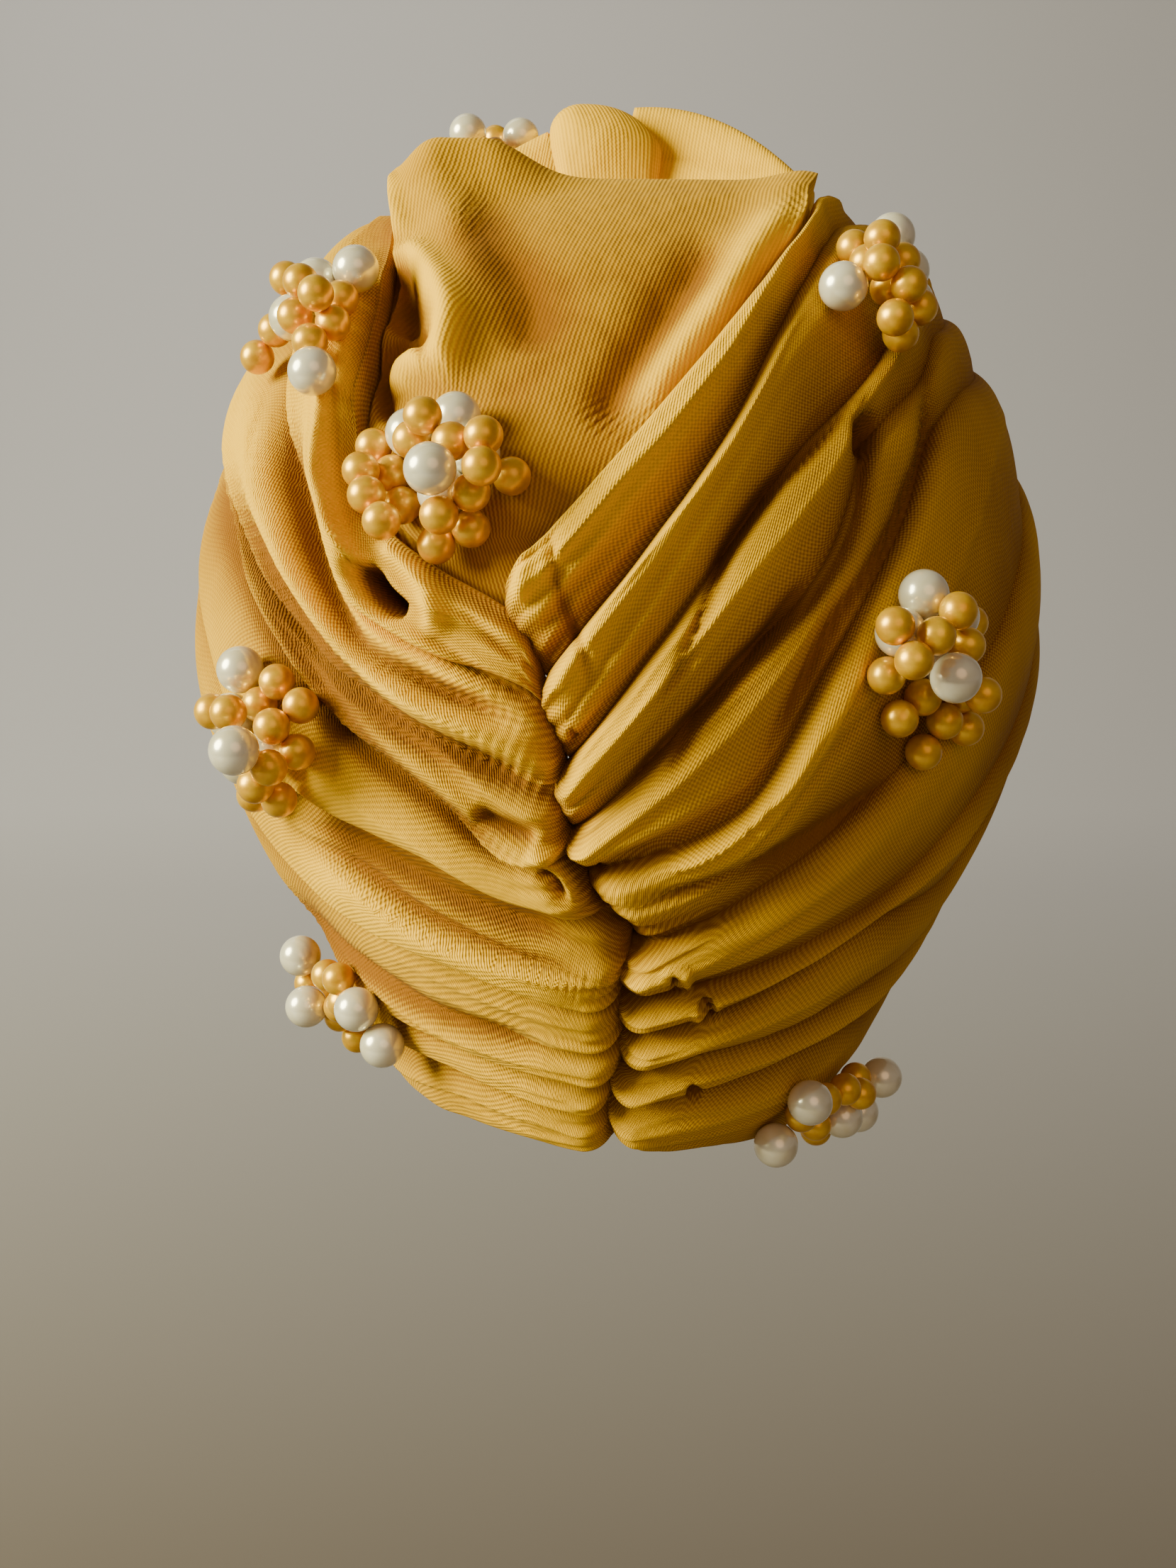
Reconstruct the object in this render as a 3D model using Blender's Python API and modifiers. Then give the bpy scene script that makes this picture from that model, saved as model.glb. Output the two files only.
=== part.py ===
"""A pleated jersey turban hat with a back seam, a peaked crown panel, a front band and bead clusters.

The origin is where the top of the head touches the hat. +Z is up and the wearer faces -Y, so the
back seam is on +Y and the wearer's left is +X. Lengths are in millimetres up to the point where a
mesh is made. Places on the cloth are given as a turn about the upright axis, 0 at the back and
180 at the front, and a rise above the level through the head's middle, both in degrees.
"""
import bmesh
import bpy
import numpy as np
from mathutils import Vector
from mathutils.bvhtree import BVHTree

MM = 0.001

# Sizes of the cloth
HEAD_MIDDLE = np.array([0.0, 0.0, -82.0])
WALL = 1.6
PANEL_WALL = 1.4
UNDERLAP = 5.0
UNDER_DEPTH = 3.2
EDGE_ABOVE = 0.8
SEAM_GAP = 0.7
SEAM_DEPTH = 5.0
SEAM_ROUND = 6.5
FRONT_DEPTH = 2.0
FRONT_ROUND = 14.0
WING_END_TURN = 175.0
COVERED_BY = 0.6
FREE_HEIGHT = 60.0

# Sizes of the beads
PEARL_RADIUS = 4.0
GOLD_RADIUS = 3.0
FACET_FILL = 1.03
BEAD_OVERLAP = 0.8
SEAT_GAP = 0.42
CLUSTER_HEIGHT = 7.0
SETTLE_START = 50.0
SETTLE_END = 12.0
SETTLE_ENOUGH = 0.03
BACK_STEP = 0.15
DRAW_TRIES = 12
VIEWER = np.array([6.0, 348.0, -11.0])

# How finely the cloth is divided
PLEAT_STEPS = (0.0, 0.3, 0.75)
WING_STEPS = (0.0, 0.012, 0.04, 0.09, 0.155, 0.225, 0.305, 0.4, 0.5, 0.61, 0.73, 0.86, 0.945, 1.0)
CROWN_ACROSS = 13
BAND_ACROSS = 8

# The smooth form under the pleats: distance from the head's middle at the sides, back and front
DOME = (
    # rise, side, back, front
    (-60, 89.0, 118.0, 110.0),
    (-45, 81.0, 107.0, 102.0),
    (-37, 78.5, 102.0, 98.0),
    (-28, 78.0, 99.0, 96.0),
    (-17, 79.0, 96.5, 95.0),
    (0, 82.0, 95.5, 97.0),
    (20, 84.5, 95.0, 101.0),
    (40, 89.0, 94.0, 105.0),
    (60, 95.0, 93.0, 104.0),
    (75, 96.0, 92.0, 98.0),
    (90, 93.0, 93.0, 93.0),
)

# The back seam, from the V under the crown panel down to the nape: turn towards the wearer's left
SEAM = (
    # rise, turn
    (-43, 0.0),
    (-38, 1.0),
    (-30, -0.5),
    (-23, 0.0),
    (-17, -1.0),
    (-10, 4.0),
    (-5, 5.5),
    (3, 6.0),
    (9, 8.0),
    (18, 12.0),
)

# Every valley between two pleats: its rise at the seam, and where it passes each turn
TURNS = (10.0, 20.0, 30.0, 45.0, 60.0, 90.0, 130.0, 172.0)
RIGHT_VALLEYS = (
    # name, at seam, then at turns 10, 20, 30, 45, 60, 90, 130, 172
    ("panel edge", 18, 41, 49, 55, 61, 65, 67, 58, 46),
    ("roll one", 9, 31, 43, 51, 58, 61, 61, 51, 39),
    ("roll two", 1, 21, 31, 37, 45, 51, 54, 45, 34),
    ("slit", -6, 9, 19, 32, 39, 45, 47, 39, 30),
    ("long valley", -10, -4, 10, 21, 34, 38, 40, 34, 26),
    ("middle", -18, -14, -8, -1, 8, 17, 27, 28, 22),
    ("ear", -24, -22, -20, -17, -10, -2, 14, 21, 18),
    ("under ear", -28, -26, -23, -20, -21, -14, 3, 14, 14),
    ("nape one", -33, -31, -31, -31, -31, -26, -7, 8, 11),
    ("nape two", -37, -36, -36, -37, -41, -36, -14, 1, 8),
    ("hem", -43, -45, -48, -51, -51, -43, -21, -5, 5),
)
LEFT_VALLEYS = (
    ("panel edge", 10, 14, 19, 25, 50, 59, 65, 57, 46),
    ("lip", 5, 8, 11, 16, 31, 46, 57, 50, 39),
    ("deep valley", -1, 1, 6, 9, 18, 28, 40, 40, 32),
    ("side", -8, -8, -2, 3, 14, 24, 34, 33, 27),
    ("middle", -14, -12, -9, -7, -3, 8, 22, 27, 22),
    ("ear", -24, -22, -20, -19, -15, -6, 11, 20, 18),
    ("under ear", -29, -29, -28, -27, -27, -20, 0, 13, 14),
    ("nape one", -34, -33, -33, -34, -36, -29, -8, 7, 11),
    ("nape two", -38, -37, -37, -39, -43, -36, -15, 0, 8),
    ("hem", -43, -43, -44, -47, -50, -43, -21, -5, 5),
)

# How far the pleats under each valley stand out, at the seam and further round
BULGE_TURNS = (0.0, 12.0, 30.0, 60.0, 95.0, 135.0, 158.0, 170.0)
RIGHT_BULGES = (
    # at turns 0, 12, 30, 60, 95, 135, 158, 170
    (5.5, 5.5, 5.0, 3.5, 2.5, 2.5, 3.0, 1.0),
    (5.0, 5.0, 4.5, 3.0, 2.5, 2.5, 3.0, 1.0),
    (4.0, 4.5, 4.0, 2.5, 2.0, 2.5, 3.0, 1.0),
    (3.5, 3.0, 3.0, 2.5, 2.0, 2.5, 3.0, 1.0),
    (4.0, 4.5, 4.0, 2.5, 2.0, 2.5, 3.0, 1.0),
    (4.0, 4.0, 3.5, 2.5, 2.0, 2.5, 3.0, 1.0),
    (3.0, 2.5, 2.0, 1.5, 1.5, 2.0, 2.5, 0.8),
    (3.5, 3.0, 2.5, 2.0, 1.5, 2.0, 2.5, 0.8),
    (3.0, 2.5, 2.0, 1.5, 1.5, 1.5, 2.0, 0.8),
    (3.5, 3.0, 2.5, 2.0, 1.5, 1.5, 2.0, 0.8),
)
LEFT_BULGES = (
    (0.5, 2.5, 4.0, 3.5, 2.5, 2.5, 3.0, 1.0),
    (4.0, 5.0, 5.0, 4.0, 2.5, 2.5, 3.0, 1.0),
    (4.0, 4.0, 3.0, 2.0, 2.0, 2.5, 3.0, 1.0),
    (4.0, 4.0, 3.5, 2.5, 2.0, 2.5, 3.0, 1.0),
    (4.5, 4.0, 3.5, 2.5, 2.0, 2.5, 3.0, 1.0),
    (3.5, 3.0, 2.5, 2.0, 1.5, 2.0, 2.5, 0.8),
    (3.5, 3.0, 2.5, 2.0, 1.5, 2.0, 2.5, 0.8),
    (3.0, 2.5, 2.0, 1.5, 1.5, 1.5, 2.0, 0.8),
    (3.0, 3.0, 2.5, 2.0, 1.5, 1.5, 2.0, 0.8),
)

# Cross-sections of the crown panel from the V over the ridge to the brow. Each runs between the two
# wings' edges, which it meets at the turns given, and stands up from them by the lifts
CROWN_SECTIONS = (
    # name, left turn, left lift, middle point, right lift, right turn
    ("low", 21, 0.5, (22, 83, -47), 0.5, -9),
    ("lap", 31, 0.5, (24, 78, -38), 0.5, -3),
    ("waist", 36, 0.5, (20, 71, -27), 0.5, 5),
    ("chest", 42, 1.0, (17, 62, -17), 1.0, 13),
    ("shoulder", 49, 2.5, (13, 50, -7), 1.5, 24),
    ("under ridge", 57, 5.0, (8, 34, 2), 3.0, 42),
    ("below ridge", 66, 7.5, (5, 22, 7), 6.0, 60),
    ("ridge", 74, 9.5, (3, 12, 10), 7.0, 72),
    ("behind ridge", 84, 10.0, (2, 3, 5), 6.0, 84),
    ("hollow", 98, 5.0, (2, -12, 1), 5.0, 93),
    ("rise", 112, 5.0, (0, -27, 10), 7.0, 100),
    ("lobe", 122, 6.0, (-4, -44, 28), 7.0, 108),
    ("front slope", 135, 3.0, (-2, -60, 18), 2.0, 126),
    ("brow", 150, 1.0, (-1, -70, 5), 1.0, 146),
    ("front edge", 163, 0.5, (0, -72, -5), 0.5, 163),
)
CROWN_TIP = (
    # name, left turn, left rise, right turn, right rise: the end hidden under both wings
    ("tip", 18, 10, 4, 12),
    ("v", 20, 14, 4, 17),
)
CROWN_LEAN = 0.6
CROWN_FOLDS = (
    # name, start, bend, end, half width, height
    ("left fold", (35, 20, 8), (22, 46, -2), (30, 62, -22), 6.5, 3.0),
    ("ridge peak", (31, 12, 12), (28, 12, 12), (24, 12, 12), 9.0, 8.0),
    ("right edge fold", (-33, 12, 10), (-28, 36, 1), (-16, 56, -11), 6.0, 2.0),
)

# The upright band over the front gathers, from inside the brow up to the knot fold on top.
# Its middle is given by its rise and by its height over the smooth form
BAND_SECTIONS = (
    # name, centre x, rise, height, half width, swell
    ("inside hem", 0, 12, -7.5, 11, 0.2),
    ("inside fold", 0, 4, -7.5, 11, 0.2),
    ("under hem", 0, 1.5, -1.5, 12, 0.4),
    ("brow", 0, 4.5, 4.6, 13, 1.0),
    ("forehead", 0, 12, 6.2, 14, 2.0),
    ("middle", 0, 24, 6.4, 15, 2.0),
    ("upper", 1, 37, 6.6, 15, 2.0),
    ("slope", 2, 50, 9.0, 14, 2.5),
    ("top front", 4, 60, 15.0, 11, 2.0),
    ("knot", 6, 67, 17.5, 8.5, 2.0),
    ("knot top", 7, 72, 16.0, 8, 2.5),
    ("knot back", 7, 75.5, 9.0, 8, 2.0),
    ("tuck", 7, 77, -1.5, 7, 1.0),
)
BAND_WALL = 1.6
BAND_SIDE_DROP = 1.0
BAND_ROOM = 2.0
BAND_REACH = 1.15
BAND_SLOPE = 2.0
BAND_OUTSIDE = 3

# The sewn clusters, each with its beads from the cloth outwards. A spot is millimetres right and
# up of the cluster's middle: as a viewer behind the hat sees it, or square to the cloth
PEARL = "pearl"
GOLD = "gold"
SEEN = "seen"
SQUARE = "square"
CLUSTERS = (
    # name, turn, rise, how measured, beads
    ("a", 20, 27, SEEN, (
        (GOLD, 3.5, 4.5), (GOLD, -6.5, -0.5), (GOLD, 1.5, -7),
        (PEARL, -11.5, 2.5), (PEARL, 4, 8), (PEARL, 12, -8), (PEARL, -6.5, -13), (PEARL, 0, 0))),
    ("b", 36, 0, SEEN, (
        (GOLD, -2.5, 7.5), (GOLD, 3, -1), (GOLD, -4, -6.5), (GOLD, 0.5, -8.5),
        (PEARL, -5.5, 13.5), (PEARL, 9.5, 2), (PEARL, -7, -1), (PEARL, 0, -15.5))),
    ("c", -29, 7, SEEN, (
        (GOLD, 1, 7.5), (GOLD, -2, 3.5), (GOLD, 3, -5),
        (PEARL, -1.5, 13.5), (PEARL, 10, 5), (PEARL, -11.5, -4.5), (PEARL, 2, -11), (PEARL, 4, 1))),
    ("d", 47, 41, SEEN, (
        (GOLD, 2, 6.5), (GOLD, 1, -0.5), (GOLD, -6, 0.5), (GOLD, -8.5, -4),
        (PEARL, 8.5, 11), (PEARL, -7, 5.5), (PEARL, 1, -6), (PEARL, -9.5, -11.5))),
    ("e", -40, 47, SEEN, (
        (GOLD, -2, 3.5), (GOLD, 0.5, -0.5), (GOLD, 4.5, 0), (GOLD, 2, -5.5),
        (PEARL, 0, 8.5), (PEARL, -7.5, -0.5), (PEARL, 7.5, -8.5))),
    ("f", 150, 63, SQUARE, (
        (GOLD, 1.5, 1), (GOLD, 1.5, -4),
        (PEARL, 7, 1), (PEARL, -6, 1), (PEARL, 4, -10))),
    ("g", 49, -38, SEEN, (
        (PEARL, 5.5, -2.5), (GOLD, -0.5, 0), (GOLD, -2.5, 5), (GOLD, 3.5, -7.5),
        (PEARL, -6.5, 9), (PEARL, -5, -0.5), (PEARL, 11, -11.5))),
    ("h", -33, -45, SEEN, (
        (GOLD, 4, 5.5), (GOLD, 2, 3.5), (GOLD, -7, -5),
        (PEARL, 10, 10), (PEARL, -5, 1.5), (PEARL, 1, -1.5), (PEARL, -12.5, -9))),
    ("i", 138, 22, SQUARE, (
        (GOLD, 0, 3), (GOLD, 1, -3),
        (PEARL, -6, 6), (PEARL, 7, 5), (PEARL, -2, -9))),
    ("j", -138, 34, SQUARE, (
        (GOLD, -1, 3), (GOLD, 3, -2),
        (PEARL, -8, 5), (PEARL, 5, 8), (PEARL, 5, -9))),
    ("k", -104, 4, SQUARE, (
        (GOLD, 1, 3), (GOLD, -1, -3),
        (PEARL, -5, 7), (PEARL, 8, 4), (PEARL, -3, -10))),
)


def clear_scene():
    for item in list(bpy.data.objects):
        bpy.data.objects.remove(item, do_unlink=True)


def make_collection(name):
    group = bpy.data.collections.new(name)
    bpy.context.scene.collection.children.link(group)
    return group


def make_material(name, colour, roughness, sheen=0.0):
    material = bpy.data.materials.new(name)
    material.use_nodes = True
    shader = material.node_tree.nodes["Principled BSDF"]
    shader.inputs["Base Color"].default_value = (*colour, 1.0)
    shader.inputs["Roughness"].default_value = roughness
    shader.inputs["Sheen Weight"].default_value = sheen
    return material


def smooth_line(at, places, values):
    """Read a curve at the given places. It passes through every value and never overshoots."""
    places = np.asarray(places, float)
    values = np.asarray(values, float)
    step = np.diff(places)
    climb = np.diff(values, axis=0) / step.reshape((-1,) + (1,) * (values.ndim - 1))
    slope = np.empty_like(values)
    slope[0] = climb[0]
    slope[-1] = climb[-1]
    before = climb[:-1]
    after = climb[1:]
    same_way = before * after > 0
    total = np.where(same_way, before + after, 1.0)
    slope[1:-1] = np.where(same_way, 2 * before * after / total, 0.0)
    at = np.clip(np.asarray(at, float), places[0], places[-1])
    cell = np.clip(np.searchsorted(places, at, side="right") - 1, 0, len(step) - 1)
    shape = at.shape + (1,) * (values.ndim - 1)
    width = step[cell].reshape(shape)
    part = ((at - places[cell]) / step[cell]).reshape(shape)
    rise = values[cell + 1] - values[cell]
    bend = slope[cell] * width * part * (1 - part) ** 2 - slope[cell + 1] * width * part ** 2 * (1 - part)
    return values[cell] + rise * part * part * (3 - 2 * part) + bend


def dome_radius(turn, rise):
    """Distance of the smooth form from the head's middle."""
    table = np.array(DOME)
    side, back, front = smooth_line(rise, table[:, 0], table[:, 1:]).T
    along = np.cos(np.radians(turn))
    across = np.sin(np.radians(turn))
    ends = np.where(along > 0, back.T, front.T)
    return 1.0 / np.sqrt((along / ends) ** 2 + (across / side.T) ** 2)


def place(turn, rise, radius):
    """A point at a turn, a rise and a distance from the head's middle."""
    turn = np.radians(turn)
    rise = np.radians(rise)
    flat = np.cos(rise)
    way = np.stack([flat * np.sin(turn), flat * np.cos(turn), np.sin(rise)], axis=-1)
    return HEAD_MIDDLE + way * np.asarray(radius)[..., None]


def pleat_bulge(part):
    """Height of a pleat between two valleys, from 0 to 1: steep at both valleys, round on top."""
    return np.sin(np.pi * part ** 0.85) ** 0.7


def seam_depth(rise):
    """How deep the seam draws the wings in: little at the V, most lower down."""
    return smooth_line(rise, (-10.0, 0.0, 9.0, 18.0), (SEAM_DEPTH, 3.0, 1.0, 0.8))


def wing_points(valleys, bulges, side, rows, columns):
    """Outer face of a wing. Rows count valleys down from the panel, columns run from seam to front."""
    seam = np.array(SEAM)
    ends = np.array([row[1] for row in valleys], float)
    rows = np.asarray(rows, float)
    upper = np.minimum(rows.astype(int), len(valleys) - 2)
    part = rows - upper
    level = ends[upper] * (1 - part) + ends[upper + 1] * part
    start = side * smooth_line(level, seam[:, 0], seam[:, 1])
    turn = start[:, None] + (WING_END_TURN - start[:, None]) * np.asarray(columns)[None, :]
    lines = [wing_line(row, side, turn) for row in valleys]
    rise = np.empty_like(turn)
    for r, k in enumerate(upper):
        rise[r] = lines[k][r] * (1 - part[r]) + lines[k + 1][r] * part[r]
    rise[:, 0] = level
    bulge = np.array([smooth_line(turn[r], BULGE_TURNS, bulges[k]) for r, k in enumerate(upper)])
    form = dome_radius(side * turn, rise)
    reach = np.radians(turn - start[:, None]) * form * np.cos(np.radians(rise))
    to_end = np.radians(WING_END_TURN - turn) * form * np.cos(np.radians(rise))
    drawn = tuck(reach / SEAM_ROUND)
    lift = bulge * pleat_bulge(part)[:, None] * (1 - drawn) - seam_depth(level)[:, None] * drawn
    radius = form + lift - FRONT_DEPTH * tuck(to_end / FRONT_ROUND)
    half_gap = np.degrees(0.5 * SEAM_GAP / (radius * np.cos(np.radians(rise))))
    return place(side * (turn + half_gap * (1 - np.asarray(columns))), rise, radius)


def wing_line(valley, side, turn):
    """Rise of one valley line at the given turns away from the back."""
    seam = np.array(SEAM)
    start = side * float(smooth_line(float(valley[1]), seam[:, 0], seam[:, 1]))
    return smooth_line(turn, (start,) + TURNS, valley[1:])


def tuck(part):
    """A quarter-round that falls from 0 at a part of 1 to 1 at a part of 0."""
    part = np.clip(part, 0.0, 1.0)
    return 1.0 - np.sqrt(1.0 - (1.0 - part) ** 2)


def add_sheet(name, points, wall, material, group, flip):
    """A grid of points as an open sheet, thickened inwards by a Solidify modifier."""
    rows, columns = points.shape[:2]
    form = bmesh.new()
    bmesh.ops.create_grid(form, x_segments=rows - 1, y_segments=columns - 1, size=0.5)
    for vertex in form.verts:
        row = round((vertex.co.x + 0.5) * (rows - 1))
        column = round((vertex.co.y + 0.5) * (columns - 1))
        vertex.co = Vector(points[row, column]) * MM
    if flip:
        bmesh.ops.reverse_faces(form, faces=form.faces)
    mesh = bpy.data.meshes.new(name)
    form.to_mesh(mesh)
    form.free()
    mesh.shade_smooth()
    mesh.materials.append(material)
    sheet = bpy.data.objects.new(name, mesh)
    group.objects.link(sheet)
    solid = sheet.modifiers.new("Cloth wall", "SOLIDIFY")
    solid.thickness = wall * MM
    solid.offset = -1.0
    return sheet


def add_wing(name, valleys, bulges, side, material, group):
    count = len(valleys) - 1
    rows = [k + step for k in range(count) for step in PLEAT_STEPS] + [count]
    points = wing_points(valleys, bulges, side, rows, WING_STEPS)
    return add_sheet(name, points, WALL, material, group, flip=side > 0)


def fold_height(points, fold):
    """Height that one soft fold adds, by the distance from its bent centre line."""
    start, bend, end, half_width, height = (np.array(value, float) for value in fold[1:])
    steps = np.linspace(0.0, 1.0, 25)[:, None]
    line = start * (1 - steps) ** 2 + 2 * bend * steps * (1 - steps) + end * steps ** 2
    away = np.linalg.norm(points[..., None, :] - line, axis=-1).min(axis=-1)
    return height * np.exp(-((away / half_width) ** 2))


def directions(points):
    """Turn, rise and distance from the head's middle of some points."""
    away = points - HEAD_MIDDLE
    turn = np.degrees(np.arctan2(away[..., 0], away[..., 1]))
    rise = np.degrees(np.arctan2(away[..., 2], np.hypot(away[..., 0], away[..., 1])))
    return turn, rise, np.linalg.norm(away, axis=-1)


def keep_under(points):
    """Press the crown panel down where a wing or the front band lies over it."""
    turn, rise, radius = directions(points)
    form = dome_radius(turn, rise)
    limit = np.full(turn.shape, FREE_HEIGHT)
    for valleys, side in ((LEFT_VALLEYS, 1), (RIGHT_VALLEYS, -1)):
        seam = np.array(SEAM)
        seam_turn = side * smooth_line(rise, seam[:, 0], seam[:, 1])
        edge = wing_line(valleys[0], side, side * turn)
        over = (rise < edge + COVERED_BY) & (side * turn > seam_turn - COVERED_BY)
        limit = np.where(over, -UNDER_DEPTH, limit)
    _, x, at, height, half, swell = zip(*BAND_SECTIONS[BAND_OUTSIDE:])
    band = smooth_line(rise, at, np.array([x, height, half, swell]).T)
    part = (points[..., 0] - band[..., 0]) / band[..., 2]
    inside = band[..., 1] - BAND_WALL - (band[..., 3] + BAND_SIDE_DROP) * np.minimum(part ** 2, 1.0)
    beside = np.maximum(np.abs(part) - BAND_REACH, 0.0) * band[..., 2]
    covered = (points[..., 1] < 0) & (rise < at[-1])
    limit = np.where(covered, np.minimum(limit, inside - BAND_ROOM + BAND_SLOPE * beside), limit)
    return place(turn, rise, np.minimum(radius, form + limit))


def crown_points(across):
    """Outer face of the crown panel, with the hidden margins that lie under the wings."""
    _, left_turn, left_lift, middle, right_lift, right_turn = zip(*CROWN_SECTIONS)
    margins = []
    tops = []
    for valleys, side, turns, lifts in (
        (LEFT_VALLEYS, 1, left_turn, left_lift),
        (RIGHT_VALLEYS, -1, right_turn, right_lift),
    ):
        turn = np.array(turns, float)
        rise = wing_line(valleys[0], side, turn) + EDGE_ABOVE
        foot = place(side * turn, rise, dome_radius(side * turn, rise) - UNDER_DEPTH)
        way = foot - HEAD_MIDDLE
        way = way / np.linalg.norm(way, axis=-1, keepdims=True) + (0.0, 0.0, CROWN_LEAN)
        way = way / np.linalg.norm(way, axis=-1, keepdims=True)
        ahead = wing_line(valleys[0], side, turn + 0.5) + EDGE_ABOVE - rise
        along = np.hypot(0.5 * np.cos(np.radians(rise)), ahead)
        step = np.degrees(UNDERLAP / dome_radius(side * turn, rise))
        turn_in = side * (turn + step * ahead / along / np.cos(np.radians(rise)))
        rise_in = rise - step * 0.5 * np.cos(np.radians(rise)) / along
        margin = place(turn_in, rise_in, dome_radius(turn_in, rise_in) - UNDER_DEPTH)
        margins.append((foot[:, None], margin[:, None]))
        tops.append(foot + way * np.array(lifts)[:, None])
    left, right = tops
    span = np.linspace(-1.0, 1.0, across + 1)[None, :, None]
    flat = 0.5 * (left + right)[:, None, :]
    half = 0.5 * (right - left)[:, None, :]
    belly = np.array(middle, float)[:, None, :] - flat
    sheet = flat + half * span + belly * (1 - span ** 2)
    outward = sheet - HEAD_MIDDLE
    outward = outward / np.linalg.norm(outward, axis=-1, keepdims=True)
    lift = sum(fold_height(sheet, fold) for fold in CROWN_FOLDS)
    sheet = keep_under(sheet + outward * lift[..., None])
    (left_foot, left_margin), (right_foot, right_margin) = margins
    sheet = np.concatenate([left_margin, left_foot, sheet, right_foot, right_margin], axis=1)
    tip = []
    for _, left_turn, left_rise, right_turn, right_rise in CROWN_TIP:
        turn = np.linspace(left_turn, right_turn, sheet.shape[1])
        rise = np.linspace(left_rise, right_rise, sheet.shape[1])
        tip.append(place(turn, rise, dome_radius(turn, rise) - UNDER_DEPTH))
    return np.concatenate([np.array(tip), sheet])


def band_points(across):
    """Outer face of the front band, whose edges turn in towards the wings."""
    x, rise, height, half, swell = np.array([row[1:] for row in BAND_SECTIONS], float).T
    centre = place(np.full(len(rise), 180.0), rise, dome_radius(180.0, rise) + height)
    centre[:, 0] = x
    along = np.gradient(centre, axis=0)
    along[:, 0] = 0.0
    along = along / np.linalg.norm(along, axis=-1, keepdims=True)
    sideways = np.array([1.0, 0.0, 0.0])
    outward = np.cross(sideways, along)
    span = np.linspace(-1.0, 1.0, across + 1)[None, :, None]
    half = half[:, None, None]
    swell = swell[:, None, None]
    lift = -swell * span ** 2 - BAND_SIDE_DROP * span ** 4 * np.minimum(1.0, swell / 2.0)
    return centre[:, None] + half * span * sideways + outward[:, None] * lift


def add_crown(material, group):
    points = crown_points(CROWN_ACROSS)
    return add_sheet("crown_panel", points, PANEL_WALL, material, group, flip=True)


def add_band(material, group):
    points = band_points(BAND_ACROSS)
    return add_sheet("front_band", points, BAND_WALL, material, group, flip=True)


def cloth_trees(sheets):
    """Search trees of the finished cloth, read with its wall on."""
    bpy.context.view_layer.update()
    graph = bpy.context.evaluated_depsgraph_get()
    return [BVHTree.FromObject(sheet, graph) for sheet in sheets]


def room(point, radius, trees, placed):
    """Free space between a bead and the cloth, and between it and its neighbours."""
    spot = Vector(point) * MM
    to_cloth = min(tree.find_nearest(spot)[3] for tree in trees) / MM - radius - SEAT_GAP
    gaps = [np.linalg.norm(point - other) - radius - size for other, size in placed]
    return to_cloth, min(gaps, default=0.0)


def settle(spot, radius, look, trees, placed):
    """Slide a bead along its line to the cloth, then back out until its neighbours fit."""
    point = spot - look * SETTLE_START
    while np.dot(point - spot, look) < SETTLE_END:
        to_cloth = room(point, radius, trees, placed)[0]
        if to_cloth < SETTLE_ENOUGH:
            break
        point = point + look * to_cloth
    while room(point, radius, trees, placed)[1] < -BEAD_OVERLAP - SETTLE_ENOUGH:
        point = point - look * BACK_STEP
    return point


def draw_near(point, radius, trees, placed):
    """Move a lone bead sideways until it meets its nearest neighbour, staying off the cloth."""
    for _ in range(DRAW_TRIES):
        to_cloth, to_bead = room(point, radius, trees, placed)
        if to_bead < -0.8 * BEAD_OVERLAP and to_cloth > -2 * SETTLE_ENOUGH:
            break
        nearest = min(placed, key=lambda item: np.linalg.norm(point - item[0]) - item[1])
        way = nearest[0] - point
        point = point + way / np.linalg.norm(way) * max(to_bead + BEAD_OVERLAP, 0.0)
        shift = min(room(point, radius, trees, placed)[0], 0.0)
        outward = point - HEAD_MIDDLE
        point = point - outward / np.linalg.norm(outward) * shift
    return point


def cluster_beads(row, trees):
    """Kind, centre and radius of each bead of one cluster."""
    _, turn, rise, measured, beads = row
    middle = place(turn, rise, dome_radius(turn, float(rise)) + CLUSTER_HEIGHT)
    look = middle - VIEWER if measured == SEEN else HEAD_MIDDLE - middle
    look = look / np.linalg.norm(look)
    right = np.cross(look, (0.0, 0.0, 1.0))
    right = right / np.linalg.norm(right)
    upward = np.cross(right, look)
    placed = []
    kinds = []
    for kind, across, above in beads:
        radius = PEARL_RADIUS if kind == PEARL else GOLD_RADIUS
        spot = middle + right * across + upward * above
        point = settle(spot, radius, look, trees, placed)
        if placed:
            point = draw_near(point, radius, trees, placed)
        placed.append((point, radius))
        kinds.append(kind)
    return [(kind, point, radius) for kind, (point, radius) in zip(kinds, placed)]


def bead_object(name, kind, point, radius, material, group):
    """A bead with 10 sides, a pearl with finer ends than a gold bead."""
    form = bmesh.new()
    size = radius * FACET_FILL * MM
    if kind == PEARL:
        bmesh.ops.create_icosphere(form, subdivisions=2, radius=size)
    else:
        bmesh.ops.create_uvsphere(form, u_segments=10, v_segments=4, radius=size)
    mesh = bpy.data.meshes.new(name)
    form.to_mesh(mesh)
    form.free()
    mesh.shade_smooth()
    mesh.materials.append(material)
    bead = bpy.data.objects.new(name, mesh)
    bead.location = Vector(point) * MM
    group.objects.link(bead)
    return bead


def add_cluster(row, trees, materials, group, helpers):
    """Sewn beads as one body: the first bead, with its neighbours joined on by Booleans."""
    beads = cluster_beads(row, trees)
    name = "bead_cluster_" + row[0]
    kind, point, radius = beads[0]
    body = bead_object(name, kind, point, radius, materials[kind], group)
    for number, (kind, point, radius) in enumerate(beads[1:], start=2):
        bead = bead_object(f"{name}_bead_{number}", kind, point, radius, materials[kind], helpers)
        bead.hide_render = True
        bead.display_type = "WIRE"
        join = body.modifiers.new(f"Bead {number}", "BOOLEAN")
        join.operation = "UNION"
        join.object = bead
    return body


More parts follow.
